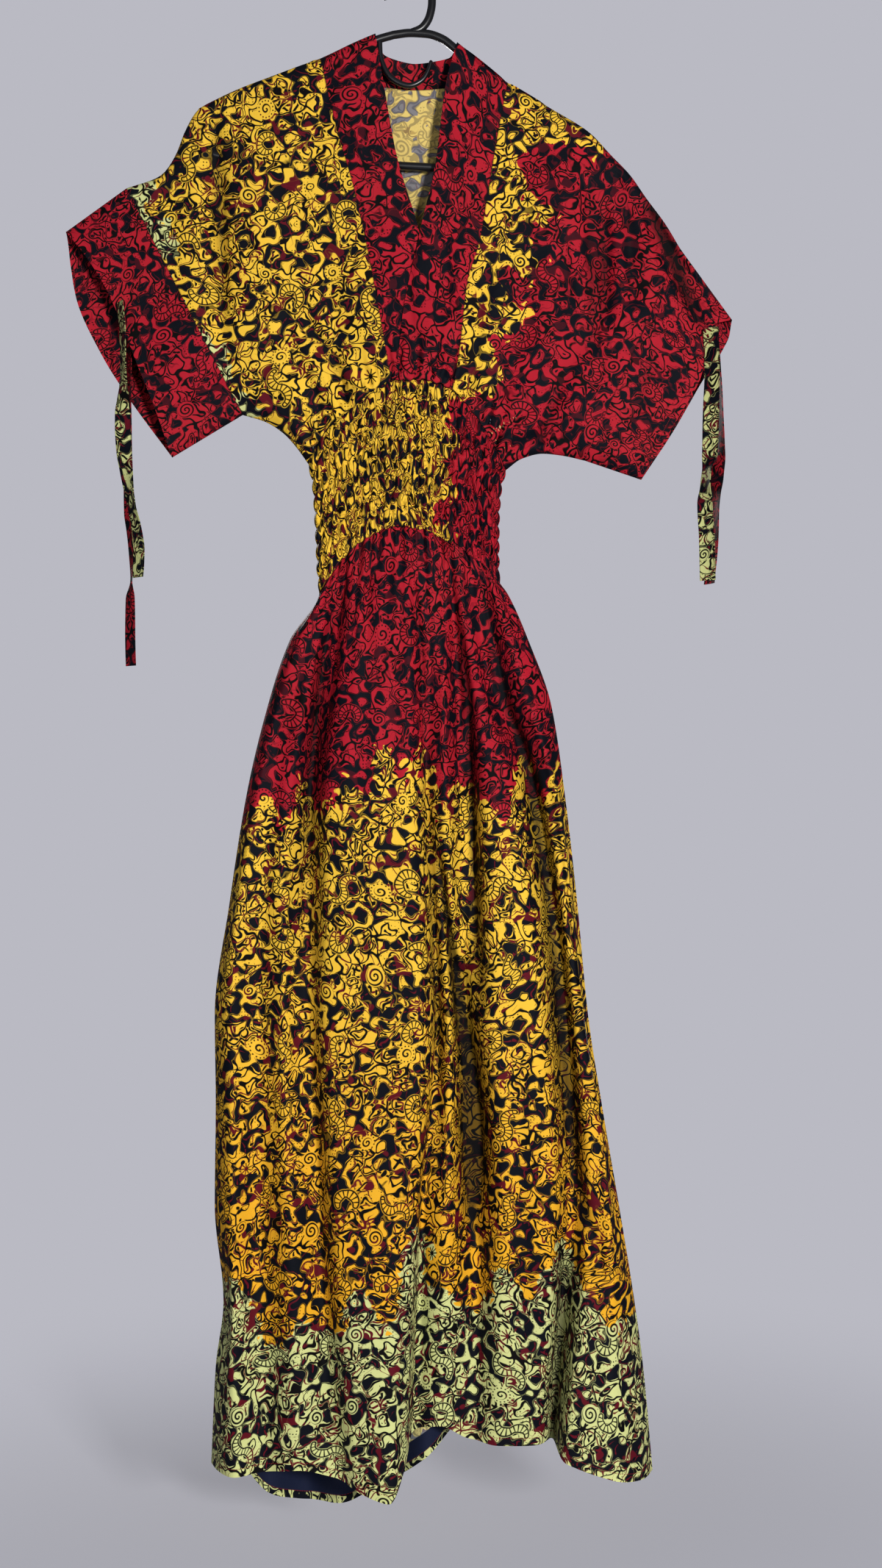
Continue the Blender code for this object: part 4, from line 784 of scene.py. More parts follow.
# Sizes of the print's motifs, in millimetres
CURL_SPACING = 80.0           # between the middles of the ladder-striped curls
COIL_SPACING = 86.0           # between those of the coils and bursts
RUNG_SPACING = 3.7            # between the rungs of a curl's ladder
ISLAND_WAVE = 15.0            # from one navy island to the next
FILL_WAVE = 11.2              # between the thin curls that fill the ground
VEIN_WAVE = 18.5              # between the maroon veins
DOT_SPACING = 10 / 3          # between the small dots
THREAD_SPACING = 0.80554      # between threads: real ones are 0.3 mm apart, too fine to show
STITCH_LENGTH = 2.77778       # from one stitch to the next
SELVEDGE_TOP = 0.030          # height of the selvedge's edge above the hem, in metres
HEM_TURN = 0.0085             # height of the turned hem, in metres


def linear(code):
    """The linear colour of an sRGB hex value."""
    shown = [int(code[i:i + 2], 16) / 255 for i in (1, 3, 5)]
    return (*(v / 12.92 if v <= 0.04045 else ((v + 0.055) / 1.055) ** 2.4 for v in shown), 1)


def add_node(tree, kind, *values, out=0, **settings):
    """Adds a node to a tree with its settings and its inputs, which are numbers, colours
    or other nodes' outputs, and returns one output. A kind in capitals is an operation of
    a Math node, or with V_ of a Vector Math node. Inputs come in order, or in a dict."""
    if kind.isupper():
        settings["operation"] = kind.removeprefix("V_")
        kind = "ShaderNodeVectorMath" if kind.startswith("V_") else "ShaderNodeMath"
    made = tree.nodes.new(kind)
    for key, value in settings.items():
        setattr(made, key, value)
    given = values[0].items() if values and isinstance(values[0], dict) else enumerate(values)
    for key, value in given:
        if isinstance(value, bpy.types.NodeSocket):
            tree.links.new(value, made.inputs[key])
        else:
            made.inputs[key].default_value = linear(value) if isinstance(value, str) else value
    return made.outputs if out is None else made.outputs[out]


def new_material(name):
    """An empty material and the function that adds its nodes."""
    made = bpy.data.materials.new(name)
    made.use_nodes = True
    made.node_tree.nodes.clear()
    return made, partial(add_node, made.node_tree)


def surface(node, settings):
    """Ends a material in a Principled shader with these values on its own sockets."""
    shader = node("ShaderNodeBsdfPrincipled", settings)
    node("ShaderNodeOutputMaterial", {"Surface": shader}, out=None)


def under(node, value, limit, soft=0.35):
    """1 where value is below limit and 0 above, over a soft edge on both sides: half, plus
    the difference over twice the edge, held between 0 and 1."""
    short = node("SUBTRACT", limit, value)
    return node("MULTIPLY_ADD", short, 0.5 / soft, 0.5, use_clamp=True)


def stroke(node, value, half, soft=0.35):
    """A line along value's zero, half its width on each side."""
    return under(node, node("ABSOLUTE", value), half, soft)


def ramp(node, value, start, steepness, low, high):
    """(value - start) times steepness, held between low and high."""
    risen = node("MULTIPLY", node("SUBTRACT", value, start), steepness)
    return node("MINIMUM", node("MAXIMUM", risen, low), high)


def hypot(node, x, y):
    """Length of a step of x and y: the root of the sum of their squares."""
    return node("SQRT", node("ADD", node("MULTIPLY", x, x), node("MULTIPLY", y, y)))


def any_of(node, *masks):
    """The greatest of some masks."""
    return reduce(partial(node, "MAXIMUM"), masks)


def all_of(node, *masks):
    """The least of some masks."""
    return reduce(partial(node, "MINIMUM"), masks)


def laid(node, colour, *layers):
    """A colour with others laid over it in turn, each by its own share."""
    for share, over in layers:
        colour = node("ShaderNodeMix", {0: share, 6: colour, 7: over}, out=2, data_type="RGBA")
    return colour


def local_cell(node, where, pitch, randomness, shift):
    """Place within a cell of a loose lattice, turned by an angle of the cell's own, and two
    more random numbers of that cell. The pitch and the place are in millimetres."""
    moved = node("V_ADD", where, shift)
    cell = node("ShaderNodeTexVoronoi",
                {"Vector": moved, "Scale": 1000 / pitch, "Randomness": randomness}, out=None,
                voronoi_dimensions="2D", feature="F1")
    offset = node("V_SCALE", {0: node("V_SUBTRACT", moved, cell["Position"]), "Scale": 1000.0})
    chance = node("ShaderNodeSeparateXYZ", cell["Color"], out=None)
    angle = node("MULTIPLY", chance[0], 6.283)
    c, s = node("COSINE", angle), node("SINE", angle)
    x, y, _ = node("ShaderNodeSeparateXYZ", offset, out=None)
    return (node("SUBTRACT", node("MULTIPLY", c, x), node("MULTIPLY", s, y)),
            node("ADD", node("MULTIPLY", s, x), node("MULTIPLY", c, y)), chance[1], chance[2])


def ladder_curls(node, where):
    """Ladder-striped curls: (ink, footprint). Each is an arc of a circle, or two in an S,
    with round ends, a line along each side and rungs across, in millimetres."""
    x, y, kind, size = local_cell(node, where, CURL_SPACING, 0.45, (0.017, 0.031, 0))
    sign = node("SUBTRACT", node("MULTIPLY", 2.0, node("GREATER_THAN", x, 0.0)), 1.0)
    is_s = node("GREATER_THAN", kind, 0.42)
    x = node("MULTIPLY", x, sign)
    y = node("MULTIPLY", y, node("ADD", node("MULTIPLY", is_s, sign), node("SUBTRACT", 1.0, is_s)))
    radius = node("MULTIPLY_ADD", size, 3.0, 7.4)
    up = node("SUBTRACT", radius, y)
    theta = node("ARCTAN2", x, up)
    reach = node("MULTIPLY_ADD", kind, 0.75, 1.75)
    on_arc = node("ABSOLUTE", node("SUBTRACT", hypot(node, x, up), radius))
    end_x = node("MULTIPLY", radius, node("SINE", reach))
    end_y = node("MULTIPLY", radius, node("SUBTRACT", 1.0, node("COSINE", reach)))
    on_end = hypot(node, node("SUBTRACT", x, end_x), node("SUBTRACT", y, end_y))
    within = node("LESS_THAN", theta, reach)
    off = node("ADD", node("MULTIPLY", within, on_arc),
               node("MULTIPLY", node("SUBTRACT", 1.0, within), on_end))
    half = node("ADD", 2.9, node("SINE", node("MULTIPLY", theta, 2.1)))
    line = stroke(node, node("SUBTRACT", off, half), 0.75)
    along = node("FRACT", node("DIVIDE", node("MULTIPLY", theta, radius), RUNG_SPACING))
    rung = node("MULTIPLY", node("SUBTRACT", along, 0.5), RUNG_SPACING)
    rung = stroke(node, rung, 0.6, 0.3)
    ink = any_of(node, line, all_of(node, rung, under(node, off, half), within))
    return ink, under(node, off, node("ADD", half, 1.2), 0.4)


def coils_and_bursts(node, where):
    """Coils, bursts of nine wedges and rings of fourteen dots round a coil: (ink,
    footprint). A coil is a line where radius over step, less the turn, is a whole one."""
    x, y, kind, size = local_cell(node, where, COIL_SPACING, 0.5, (0.047, 0.004, 0))
    r = hypot(node, x, y)
    turn = node("DIVIDE", node("ARCTAN2", y, x), TURN)

    def beside_arm(count):
        part = node("SUBTRACT", node("FRACT", node("MULTIPLY", turn, count)), 0.5)
        return node("MULTIPLY", node("MULTIPLY", node("ABSOLUTE", part), r), TURN / count)

    step = node("MULTIPLY_ADD", size, 0.9, 3.6)
    outer = node("MULTIPLY_ADD", size, 3.8, 5.8)
    wave = node("FRACT", node("SUBTRACT", node("DIVIDE", r, step), turn))
    coil = stroke(node, node("MULTIPLY", node("SUBTRACT", wave, 0.5), step), 0.95)
    coil = all_of(node, coil, under(node, r, outer))
    burst = all_of(node, under(node, beside_arm(9.0), 0.62, 0.3), under(node, r, 6.8, 0.3))
    burst = any_of(node, burst, under(node, r, 2.3))
    dots = hypot(node, beside_arm(14.0), node("SUBTRACT", r, 8.2))
    dots = any_of(node, under(node, dots, 0.8, 0.3), all_of(node, coil, under(node, r, 5.4)))
    is_burst, is_dots = node("GREATER_THAN", kind, 0.8), node("LESS_THAN", kind, 0.3)
    plain = node("SUBTRACT", 1.0, any_of(node, is_burst, is_dots))
    ink = any_of(node, *(node("MULTIPLY", share, motif) for share, motif in (
        (plain, coil), (is_burst, burst), (is_dots, dots))))
    return ink, under(node, r, node("ADD", outer, 0.9), 0.4)


def wave_field(node, where, pitch, seed):
    """Distance in millimetres from the zero line of some crossed waves of one length, which
    leaves lobed islands and channels of even width: their sum over its own slope."""
    rng = np.random.default_rng(seed)
    turn = 2 * math.pi / (pitch * MM)
    total = slope_x = slope_y = 0.0
    for i in range(WAVES):
        angle = (i + rng.uniform(-0.35, 0.35)) / WAVES * math.pi
        x, y = math.cos(angle), math.sin(angle)
        phase = node("ADD", node("V_DOT_PRODUCT", where, (turn * x, turn * y, 0), out="Value"),
                     rng.uniform(0, 6.28))
        total = node("ADD", total, node("COSINE", phase))
        fall = node("SINE", phase)
        slope_x = node("MULTIPLY_ADD", fall, x, slope_x)
        slope_y = node("MULTIPLY_ADD", fall, y, slope_y)
    slope = node("MAXIMUM", hypot(node, slope_x, slope_y), 0.8)
    return node("MULTIPLY", node("DIVIDE", total, slope), pitch / (2 * math.pi))


def print_pattern(node, place):
    """Masks of the wax print at a place on the cloth in metres: navy islands, black lines,
    maroon accents and the distance from the islands' edge. Curls and coils keep their own
    ground clear; navy fills the islands where a noise is high, and strokes follow their
    edges, more curls fill the ground between, and dots and maroon veins run beside."""
    cloud = {key: node("ShaderNodeTexNoise",
                       {"Vector": node("V_ADD", place, shift), "Scale": hills, "Detail": 0.0},
                       noise_dimensions="2D") for key, (hills, shift) in CLOUDS.items()}
    gentle = lobed = place
    for hills, gentle_bend, lobed_bend in BENDS:
        bend = node("ShaderNodeTexNoise", {"Vector": place, "Scale": hills, "Detail": 0.0},
                    out="Color", noise_dimensions="2D")
        bend = node("V_SUBTRACT", bend, (0.5, 0.5, 0.5))
        gentle = node("V_ADD", gentle, node("V_SCALE", {0: bend, "Scale": gentle_bend}))
        lobed = node("V_ADD", lobed, node("V_SCALE", {0: bend, "Scale": lobed_bend}))
    curled, curl_foot = ladder_curls(node, gentle)
    coils, coil_foot = coils_and_bursts(node, gentle)
    clear = node("SUBTRACT", 1.0, any_of(node, curl_foot, coil_foot))
    motifs = any_of(node, node("MULTIPLY", curled, node("SUBTRACT", 1.0, coil_foot)), coils)

    edge = wave_field(node, lobed, ISLAND_WAVE, 4)
    start = ramp(node, cloud["fat"], 0.508, -60.0, -0.3, 9.0)
    navy = all_of(node, under(node, start, edge), clear)
    strokes = stroke(node, edge, ramp(node, cloud["mask"], 0.3, 7.0, 0.9, 1.3), 0.3)
    away = any_of(node, under(node, edge, -2.2, 0.4), under(node, 2.0, edge, 0.4))
    curls = stroke(node, wave_field(node, gentle, FILL_WAVE, 9),
                   ramp(node, cloud["other"], 0.44, 12.0, -1.0, 1.2), 0.3)
    dot = node("ShaderNodeTexVoronoi",
               {"Vector": place, "Scale": 1000 / DOT_SPACING, "Randomness": 0.2}, out="Distance",
               voronoi_dimensions="2D", feature="F1")
    dots = all_of(node, under(node, node("MULTIPLY", dot, DOT_SPACING), 0.72, 0.25),
                  stroke(node, node("ADD", edge, 2.7), 1.1, 0.2),
                  node("LESS_THAN", cloud["mask"], 0.46))
    lines = any_of(node, strokes, all_of(node, curls, away), dots)
    lines = any_of(node, all_of(node, lines, clear), motifs)

    weight = ramp(node, cloud["other"], 0.30, 5.0, -2.0, 0.9)
    veins = stroke(node, wave_field(node, lobed, VEIN_WAVE, 17), weight, 0.25)
    veins = all_of(node, veins, clear)
    stains = all_of(node, under(node, 0.73, cloud["stain"], 0.015), any_of(node, navy, lines))
    accent = any_of(node, node("MULTIPLY", stains, 0.85),
                    node("MULTIPLY", veins, node("SUBTRACT", 1.0, lines)))
    return navy, lines, accent, edge


def printed_cotton(name, reverse=False):
    """Wax printed cotton, plain woven and pressed: matt, roughness 0.7 as cotton has, with
    hardly any gloss and the faint relief of its threads. The dye goes through, so the
    reverse is the same print, paler, with its selvedge bare."""
    made, node = new_material(name)
    place = node("ShaderNodeUVMap", uv_map="Cloth")
    at = {key: node("ShaderNodeAttribute", out="Fac", attribute_name=key) for key in zones()}
    rough, tone, nap = (node("ShaderNodeTexNoise",
                             {"Vector": place, "Scale": hills, "Detail": detail},
                             noise_dimensions="2D")
                        for hills, detail in (ROUGH, DYE, NAP))
    navy, lines, accent, edge = print_pattern(node, place)
    # the colour fields meet in a jagged edge that follows the print
    jag = node("MULTIPLY_ADD", node("SUBTRACT", rough, 0.5), 0.034,
               node("MULTIPLY", edge, 0.0008))
    red, lime = (under(node, 0.0, node("ADD", at[key], jag), 0.0004) for key in ("red", "lime"))
    ground = laid(node, GROUND_YELLOW, (at["warm"], GROUND_ORANGE), (red, GROUND_RED),
                  (lime, GROUND_LIME))
    dusk = node("MULTIPLY", node("SUBTRACT", tone, 0.35), 0.25)
    ground = laid(node, ground, (dusk, laid(node, ground, (0.5, GROUND_DUSK))))
    if reverse:
        turned = node("LESS_THAN", at["hem"], HEM_TURN)
        selvedge = all_of(node, under(node, at["hem"], SELVEDGE_TOP, 0.0004),
                          node("SUBTRACT", 1.0, turned))
        right_side = laid(node, GROUND_LIME, (any_of(node, navy, lines), INK_NAVY))
        colour = laid(node, ground, (0.7, REVERSE_PALE),
                      (node("MULTIPLY", navy, 0.8), REVERSE_INK),
                      (node("MULTIPLY", lines, 0.5), REVERSE_LINE),
                      (node("MULTIPLY", accent, 0.4), INK_MAROON), (selvedge, SELVEDGE),
                      (turned, right_side))
    else:
        # the print's inks, and last black laid in by fold: painted shade in the deep troughs
        colour = laid(node, ground, (navy, INK_NAVY),
                      (node("MULTIPLY", lines, node("SUBTRACT", 1.0, navy)), INK_BLACK),
                      (node("MULTIPLY", accent, node("MULTIPLY_ADD", red, -0.55, 1.0)),
                       INK_MAROON), (at["fold"], INK_BLACK))
    # painted shadow: a dark line laid over the print where the seam value is small, along seams,
    # sewn edges and the shirring's grooves; and the seams' stitches
    stitches = node("MULTIPLY", at["run"], 1000 / STITCH_LENGTH)
    dash = node("LESS_THAN", node("FRACT", stitches), 0.68)
    sewn = node("MULTIPLY", stroke(node, at["stitch"], 0.00045, 0.0001), dash)
    painted_shadow = under(node, at["seam"], 0.0008, 0.0005)
    colour = laid(node, colour, (node("MULTIPLY", painted_shadow, 0.45), INK_BLACK),
                  (node("MULTIPLY", sewn, 0.7), THREAD))
    # relief of the threads, the pressed cotton's nap and the pulled line of the stitches
    x, y, _ = node("ShaderNodeSeparateXYZ", place, out=None)
    threads = [node("SINE", node("MULTIPLY", axis, TURN * 1000 / THREAD_SPACING))
               for axis in (x, y)]
    weave = node("ADD", *threads)
    height = node("MULTIPLY_ADD", weave, 0.00002, node("MULTIPLY", nap, 0.0006))
    pulled = stroke(node, at["stitch"], 0.0006, 0.0003)
    height = node("MULTIPLY_ADD", pulled, -0.0005, height)
    bump = node("ShaderNodeBump", {"Strength": 0.5, "Distance": 1.0, "Height": height})
    surface(node, {"Base Color": colour, "Roughness": 0.7, "Specular IOR Level": 0.09,
                   "Normal": bump})
    return made


def moulded_plastic(name):
    """Injection moulded polypropylene: even black, with the soft gloss of a mould that
    isn't quite polished, roughness 0.32."""
    made, node = new_material(name)
    surface(node, {"Base Color": BLACK_PLASTIC, "Roughness": 0.32, "Specular IOR Level": 0.5})
    return made


PRINT = printed_cotton("wax_printed_cotton")
REVERSE = printed_cotton("wax_printed_cotton_reverse", reverse=True)
CLOTH_PAIR = (PRINT, REVERSE)
PLASTIC = moulded_plastic("moulded_polypropylene")


# ---------------------------------------------------------------- the bodice

def edge_fractions(start, end, steps):
    """Fractions from start to end of each column, fine where the cloth turns over."""
    run = end - start
    length = np.linalg.norm(run, axis=-1)
    along = run / length[:, None]
    fractions = []
    for line in (start, end):
        tangent = unit(np.gradient(line, axis=0))
        lean = np.abs(along[:, 0] * tangent[:, 1] - along[:, 1] * tangent[:, 0])
        fractions.append(EDGE_STEPS[:, None] / (np.maximum(lean, 0.5) * length))
    first, last = fractions
    share = np.linspace(0, 1, steps + 1)[1:-1, None]
    middle = first[-1] + share * (1 - last[-1] - first[-1])
    return np.concatenate((first, middle, 1 - last[::-1]))


def patch(top, bottom, start, end):
    """Grid between four borders: straight between top and bottom, with the outer columns
    bent onto the curves start and end and less and less of that bend between them."""
    fraction = edge_fractions(top, bottom, PATCH_STEPS * FINE * 3)
    ruled = top + fraction[..., None] * (bottom - top)
    u = np.linspace(0, 1, top.shape[0])[None, :, None]
    for curve, column, weight in ((start, 0, 1 - u), (end, -1, u)):
        bend = spread(curve, fraction[:, column]) - ruled[:, column]
        ruled = ruled + weight * bend[:, None]
    return ruled


def join_waist(out, flat, on_waist=True):
    """Draws the last rows of a piece of the bodice to the waist seam's own distance out,
    a little over it, by an ease over the rows' drop."""
    target = np.where(on_waist, waist_out(flat[-1, :, 0], flat[-1, :, 1]) + WAIST_LIP, out[-1])
    below = ease(1 - (flat[-1, :, 1] - flat[..., 1]) / WAIST_BLEND)
    return out + below * (target - out[-1])


def cuff_seam(side):
    """The straight seam between sleeve and cuff, top to bottom."""
    return np.array((OVERARM[side][-1], UNDERARM[side][-1]), float)


def overlap_lift(points, out):
    """Lift of the right neckband where it crosses the left one: an ease down the band and
    another away from the outline."""
    down = ease((points[..., 1] - OVERLAP_TOP) / OVERLAP_RISE)
    return OVERLAP * down * ease(out / SEAM_LIFT)


def shoulder(side):
    """The overarm outline from the neckband's seam out to the cuff seam."""
    reach = abs(BAND_OUTER[side][0][0])
    return [point for point in OVERARM[side] if abs(point[0]) >= reach]


def front_patch(side):
    """Flat grid of one front, from the neckband out to the cuff seam."""
    waist = waist_seam_points(WAIST_TOP["front"])
    first, last = BAND_SPANS[0] * FINE, BAND_SPANS[1] * FINE
    waist = waist[first::-1] if side == "left" else waist[last:]
    arm = spread(UNDERARM[side], np.linspace(0, 1, UNDERARM_STEPS * FINE + 1)[1:])
    bottom = np.concatenate((waist, arm))
    top = spread(shoulder(side), np.linspace(0, 1, len(bottom)))
    seam = (*BAND_OUTER[side][:-1], waist[0])
    return patch(top, bottom, seam, cuff_seam(side)), len(waist)


def flat_uv(flat, turn):
    """Place on the cut of points that lie flat, in metres, turned from the thread."""
    c, s = math.cos(turn), math.sin(turn)
    x, y = flat[..., 0] * MM, flat[..., 1] * MM
    return np.stack((c * x - s * y, s * x + c * y), axis=-1)


def seam_distance(flat, *lines):
    """Distance to the nearest of some seam lines, in metres."""
    return np.min([near(flat, line)[0] for line in lines], axis=0) * MM


def make_front(side):
    """One front with its half sleeve, cut in one."""
    flat, count = front_patch(side)
    on_waist = np.arange(flat.shape[1]) < count
    edge = seam_distance(flat, flat[::3, 0], flat[::3, -1], flat[-1, :count:3])
    flat[-1, on_waist, 1] -= SEAM
    out = join_waist(bodice_out(flat, "front"), flat, on_waist)
    if side == "right":
        away = 1 - ease(near(flat, BAND_OUTER[side])[0] / OVERLAP_FADE)
        out = out + away * overlap_lift(flat, out)
    x, drop = flat[..., 0], flat[..., 1]
    shown = seen("front", x, drop, out)
    if side == "left":
        turn, colours = 0.05, {"lime": inside(shown, LIME_ON_LEFT)}
    else:
        turn, colours = -0.08, {"red": -inside(shown, YELLOW_ON_RIGHT)}
    values = zones(seam=edge, fold=fold_shade(flat, "front"), **colours)
    return shell("front_" + side, place(x, drop, out + SEAM), 1, flat_uv(flat, turn), values,
                 CLOTH_PAIR)


def neck_steps():
    """Fractions along the back neck: fine where the shoulders turn over, then even."""
    ends = EDGE_STEPS / NECK_LENGTH
    middle = np.linspace(ends[-1], 1 - ends[-1], NECK_STEPS * FINE + 1)[1:-1]
    return np.concatenate((ends, middle, 1 - ends[::-1]))


def make_back():
    """The back with both half sleeves, from one cuff seam to the other."""
    steps = neck_steps()
    waist = waist_seam_points(WAIST_TOP["back"])
    under_arm = np.linspace(0, 1, UNDERARM_STEPS * FINE + 1)[1:]
    bottom = np.concatenate((spread(UNDERARM["left"], under_arm)[::-1], waist,
                             spread(UNDERARM["right"], under_arm)))
    arms = np.linspace(0, 1, (len(bottom) - len(steps) + 2) // 2)
    top = np.concatenate((spread(shoulder("left"), arms)[::-1],
                          spread(NECK_BACK_SEAM, steps[1:-1]),
                          spread(shoulder("right"), arms)))
    spot = np.arange(len(bottom))
    on_waist = (spot >= len(under_arm)) & (spot[::-1] >= len(under_arm))
    flat = patch(top, bottom, cuff_seam("left"), cuff_seam("right"))
    out = join_waist(bodice_out(flat, "back"), flat, on_waist)
    neck = flat[0, len(arms) - 1:-len(arms) + 1]
    edge = seam_distance(flat, flat[::3, 0], flat[::3, -1], flat[-1, on_waist][::3], neck[::3])
    values = zones(red=inside(flat, RED_ON_BACK), seam=edge, fold=fold_shade(flat, "back"))
    return shell("back", place(flat[..., 0], flat[..., 1], -out - SEAM), -1,
                 flat * MM, values, CLOTH_PAIR)


def make_band_front(side):
    """Half of the neckband, from the shoulder seam down to the waist seam: a folded strip,
    a touch fuller than the front, with soft ripples across."""
    is_left = side == "left"
    outer = front_patch(side)[0][:, 0]
    first, last = BAND_SPANS[0] * FINE, BAND_SPANS[1] * FINE
    foot = waist_seam_points(WAIST_TOP["front"])[first:last + 1][::1 if is_left else -1]
    down = lengths(outer)
    inner = spread((*BAND_INNER[side][:-1], foot[-1]), down / down[-1])
    across = np.linspace(0, 1, len(foot))[None, :, None]
    flat = outer[:, None] + across * (inner - outer)[:, None]
    flat = flat + (down / down[-1])[:, None, None] ** 4 * (foot - flat[-1])
    out = bodice_out(flat, "front")
    out[0] = 0
    out = join_waist(out, flat)
    if not is_left:
        out = out + overlap_lift(flat, out)
    across = across[..., 0]
    full = ease(np.minimum(across, 1 - across) * BAND_WIDTH / 6) * ease(out / SEAM_LIFT)
    out = out + full * (0.7 + 0.35 * wobble(down / 15, 41 if is_left else 57)[:, None])
    over = across * np.linalg.norm(inner - outer, axis=-1)[:, None]
    uv = np.stack((over, down[:, None] + 0 * over), axis=-1) * MM
    edge = seam_distance(flat, flat[::3, 0], flat[-1, ::3])
    values = zones(red=1.0, seam=edge, fold=fold_shade(flat, "front"))
    return shell("neckband_front_" + side, place(flat[..., 0], flat[..., 1], out + SEAM), 1, uv,
                 values, thickness=BAND_SHELL)


def make_band_back():
    """The neckband behind the neck, from one shoulder seam to the other."""
    steps = neck_steps()
    top, seam = spread(NECK_BACK_TOP, steps), spread(NECK_BACK_SEAM, steps)
    down = np.linspace(0, 1, 5 * FINE + 1)[:, None, None]
    flat = top + down * (seam - top)
    down = down[..., 0]
    out = bodice_out(flat, "back")
    out[:, [0, -1]] = 0
    within = ease(out / SEAM_LIFT)
    full = 0.6 * ease(np.minimum(down, 1 - down) * 5) + 0.5 * wobble(flat[..., 0] / 9, 71)
    out = out + within * full
    return shell("neckband_behind", place(flat[..., 0], flat[..., 1], -out - SEAM), -1,
                 flat_uv(flat, 1.57), zones(red=1.0, seam=seam_distance(flat, flat[-1, ::3])),
                 thickness=BAND_SHELL)


def cuff_grid(side, fine, rows, detail):
    """Rings of the cuff from its seam to the sleeve mouth, front then back, and each
    point's place on the band. The cloth stands as far out as the sleeve at the seam, and
    at the mouth in a quarter round to its own opening."""
    count = len(CUFF_STEPS) - 1
    s = np.interp(np.linspace(0, count, count * fine + 1), np.arange(count + 1), CUFF_STEPS)
    row = np.linspace(0, 1, rows)[:, None]
    seam = spread(cuff_seam(side), s)
    reach = MOUTH_LENGTH * np.minimum(s, 1 - s)
    halves, places = [], []
    for face, front in (("front", 1), ("back", -1)):
        mouth = spread(MOUTHS[face][side], s)
        flat = seam + row[..., None] * (mouth - seam)
        at_seam = bodice_out(seam, face, detail)
        at_mouth = MOUTH_OPEN[face] * quarter_turn(reach / MOUTH_ROUND)
        out = at_seam + ease(row) * (at_mouth - at_seam)
        if detail:
            swing = 1.5 * row * wobble(s * 7, 83 if face == "front" else 87)
            waves = swing + 0.4 * rumple(flat[..., 0], flat[..., 1], 24, 5)
            out = out + ease(reach / 30) * waves
            out = np.maximum(out + row * valleys(flat, face), FINE_LEAST * out)
        out[:, [0, -1]] = 0
        halves.append(place(flat[..., 0], flat[..., 1], front * out))
        across = row * np.linalg.norm(mouth - seam, axis=-1).mean()
        round_it = s if face == "front" else 2 - s
        places.append(np.stack((round_it * MOUTH_LENGTH + 0 * across, across + 0 * s), axis=-1))
    rings, spots = (np.concatenate((first, second[:, -2:0:-1]), axis=1)
                    for first, second in (halves, places))
    return rings, spots * MM


def make_cuff(side):
    """The band sewn round the sleeve mouth, one closed tube of cloth."""
    grid, uv = cuff_grid(side, FINE, 6 * FINE, True)
    wrap = np.stack((np.full(len(grid), 2 * MOUTH_LENGTH * MM), uv[:, 0, 1]), axis=-1)
    edge = uv[..., 1]
    flat = np.stack((grid[..., 0], -grid[..., 2]), axis=-1) / MM
    shade = fold_shade(flat, "front") * (grid[..., 1] < 0)
    values = zones(red=1.0, seam=edge, stitch=edge.max() - edge - CUFF_STITCH * MM,
                   run=uv[..., 0], fold=shade)
    return shell("sleeve_cuff_" + side, grid, 1, uv, values, thickness=CUFF_SHELL,
                 wrap_uv=wrap)


# ---------------------------------------------------------------- waist and skirt

def doubled(points):
    """Points with the middle of every span put in between."""
    return np.insert(points, np.arange(1, len(points)), (points[:-1] + points[1:]) / 2, axis=0)


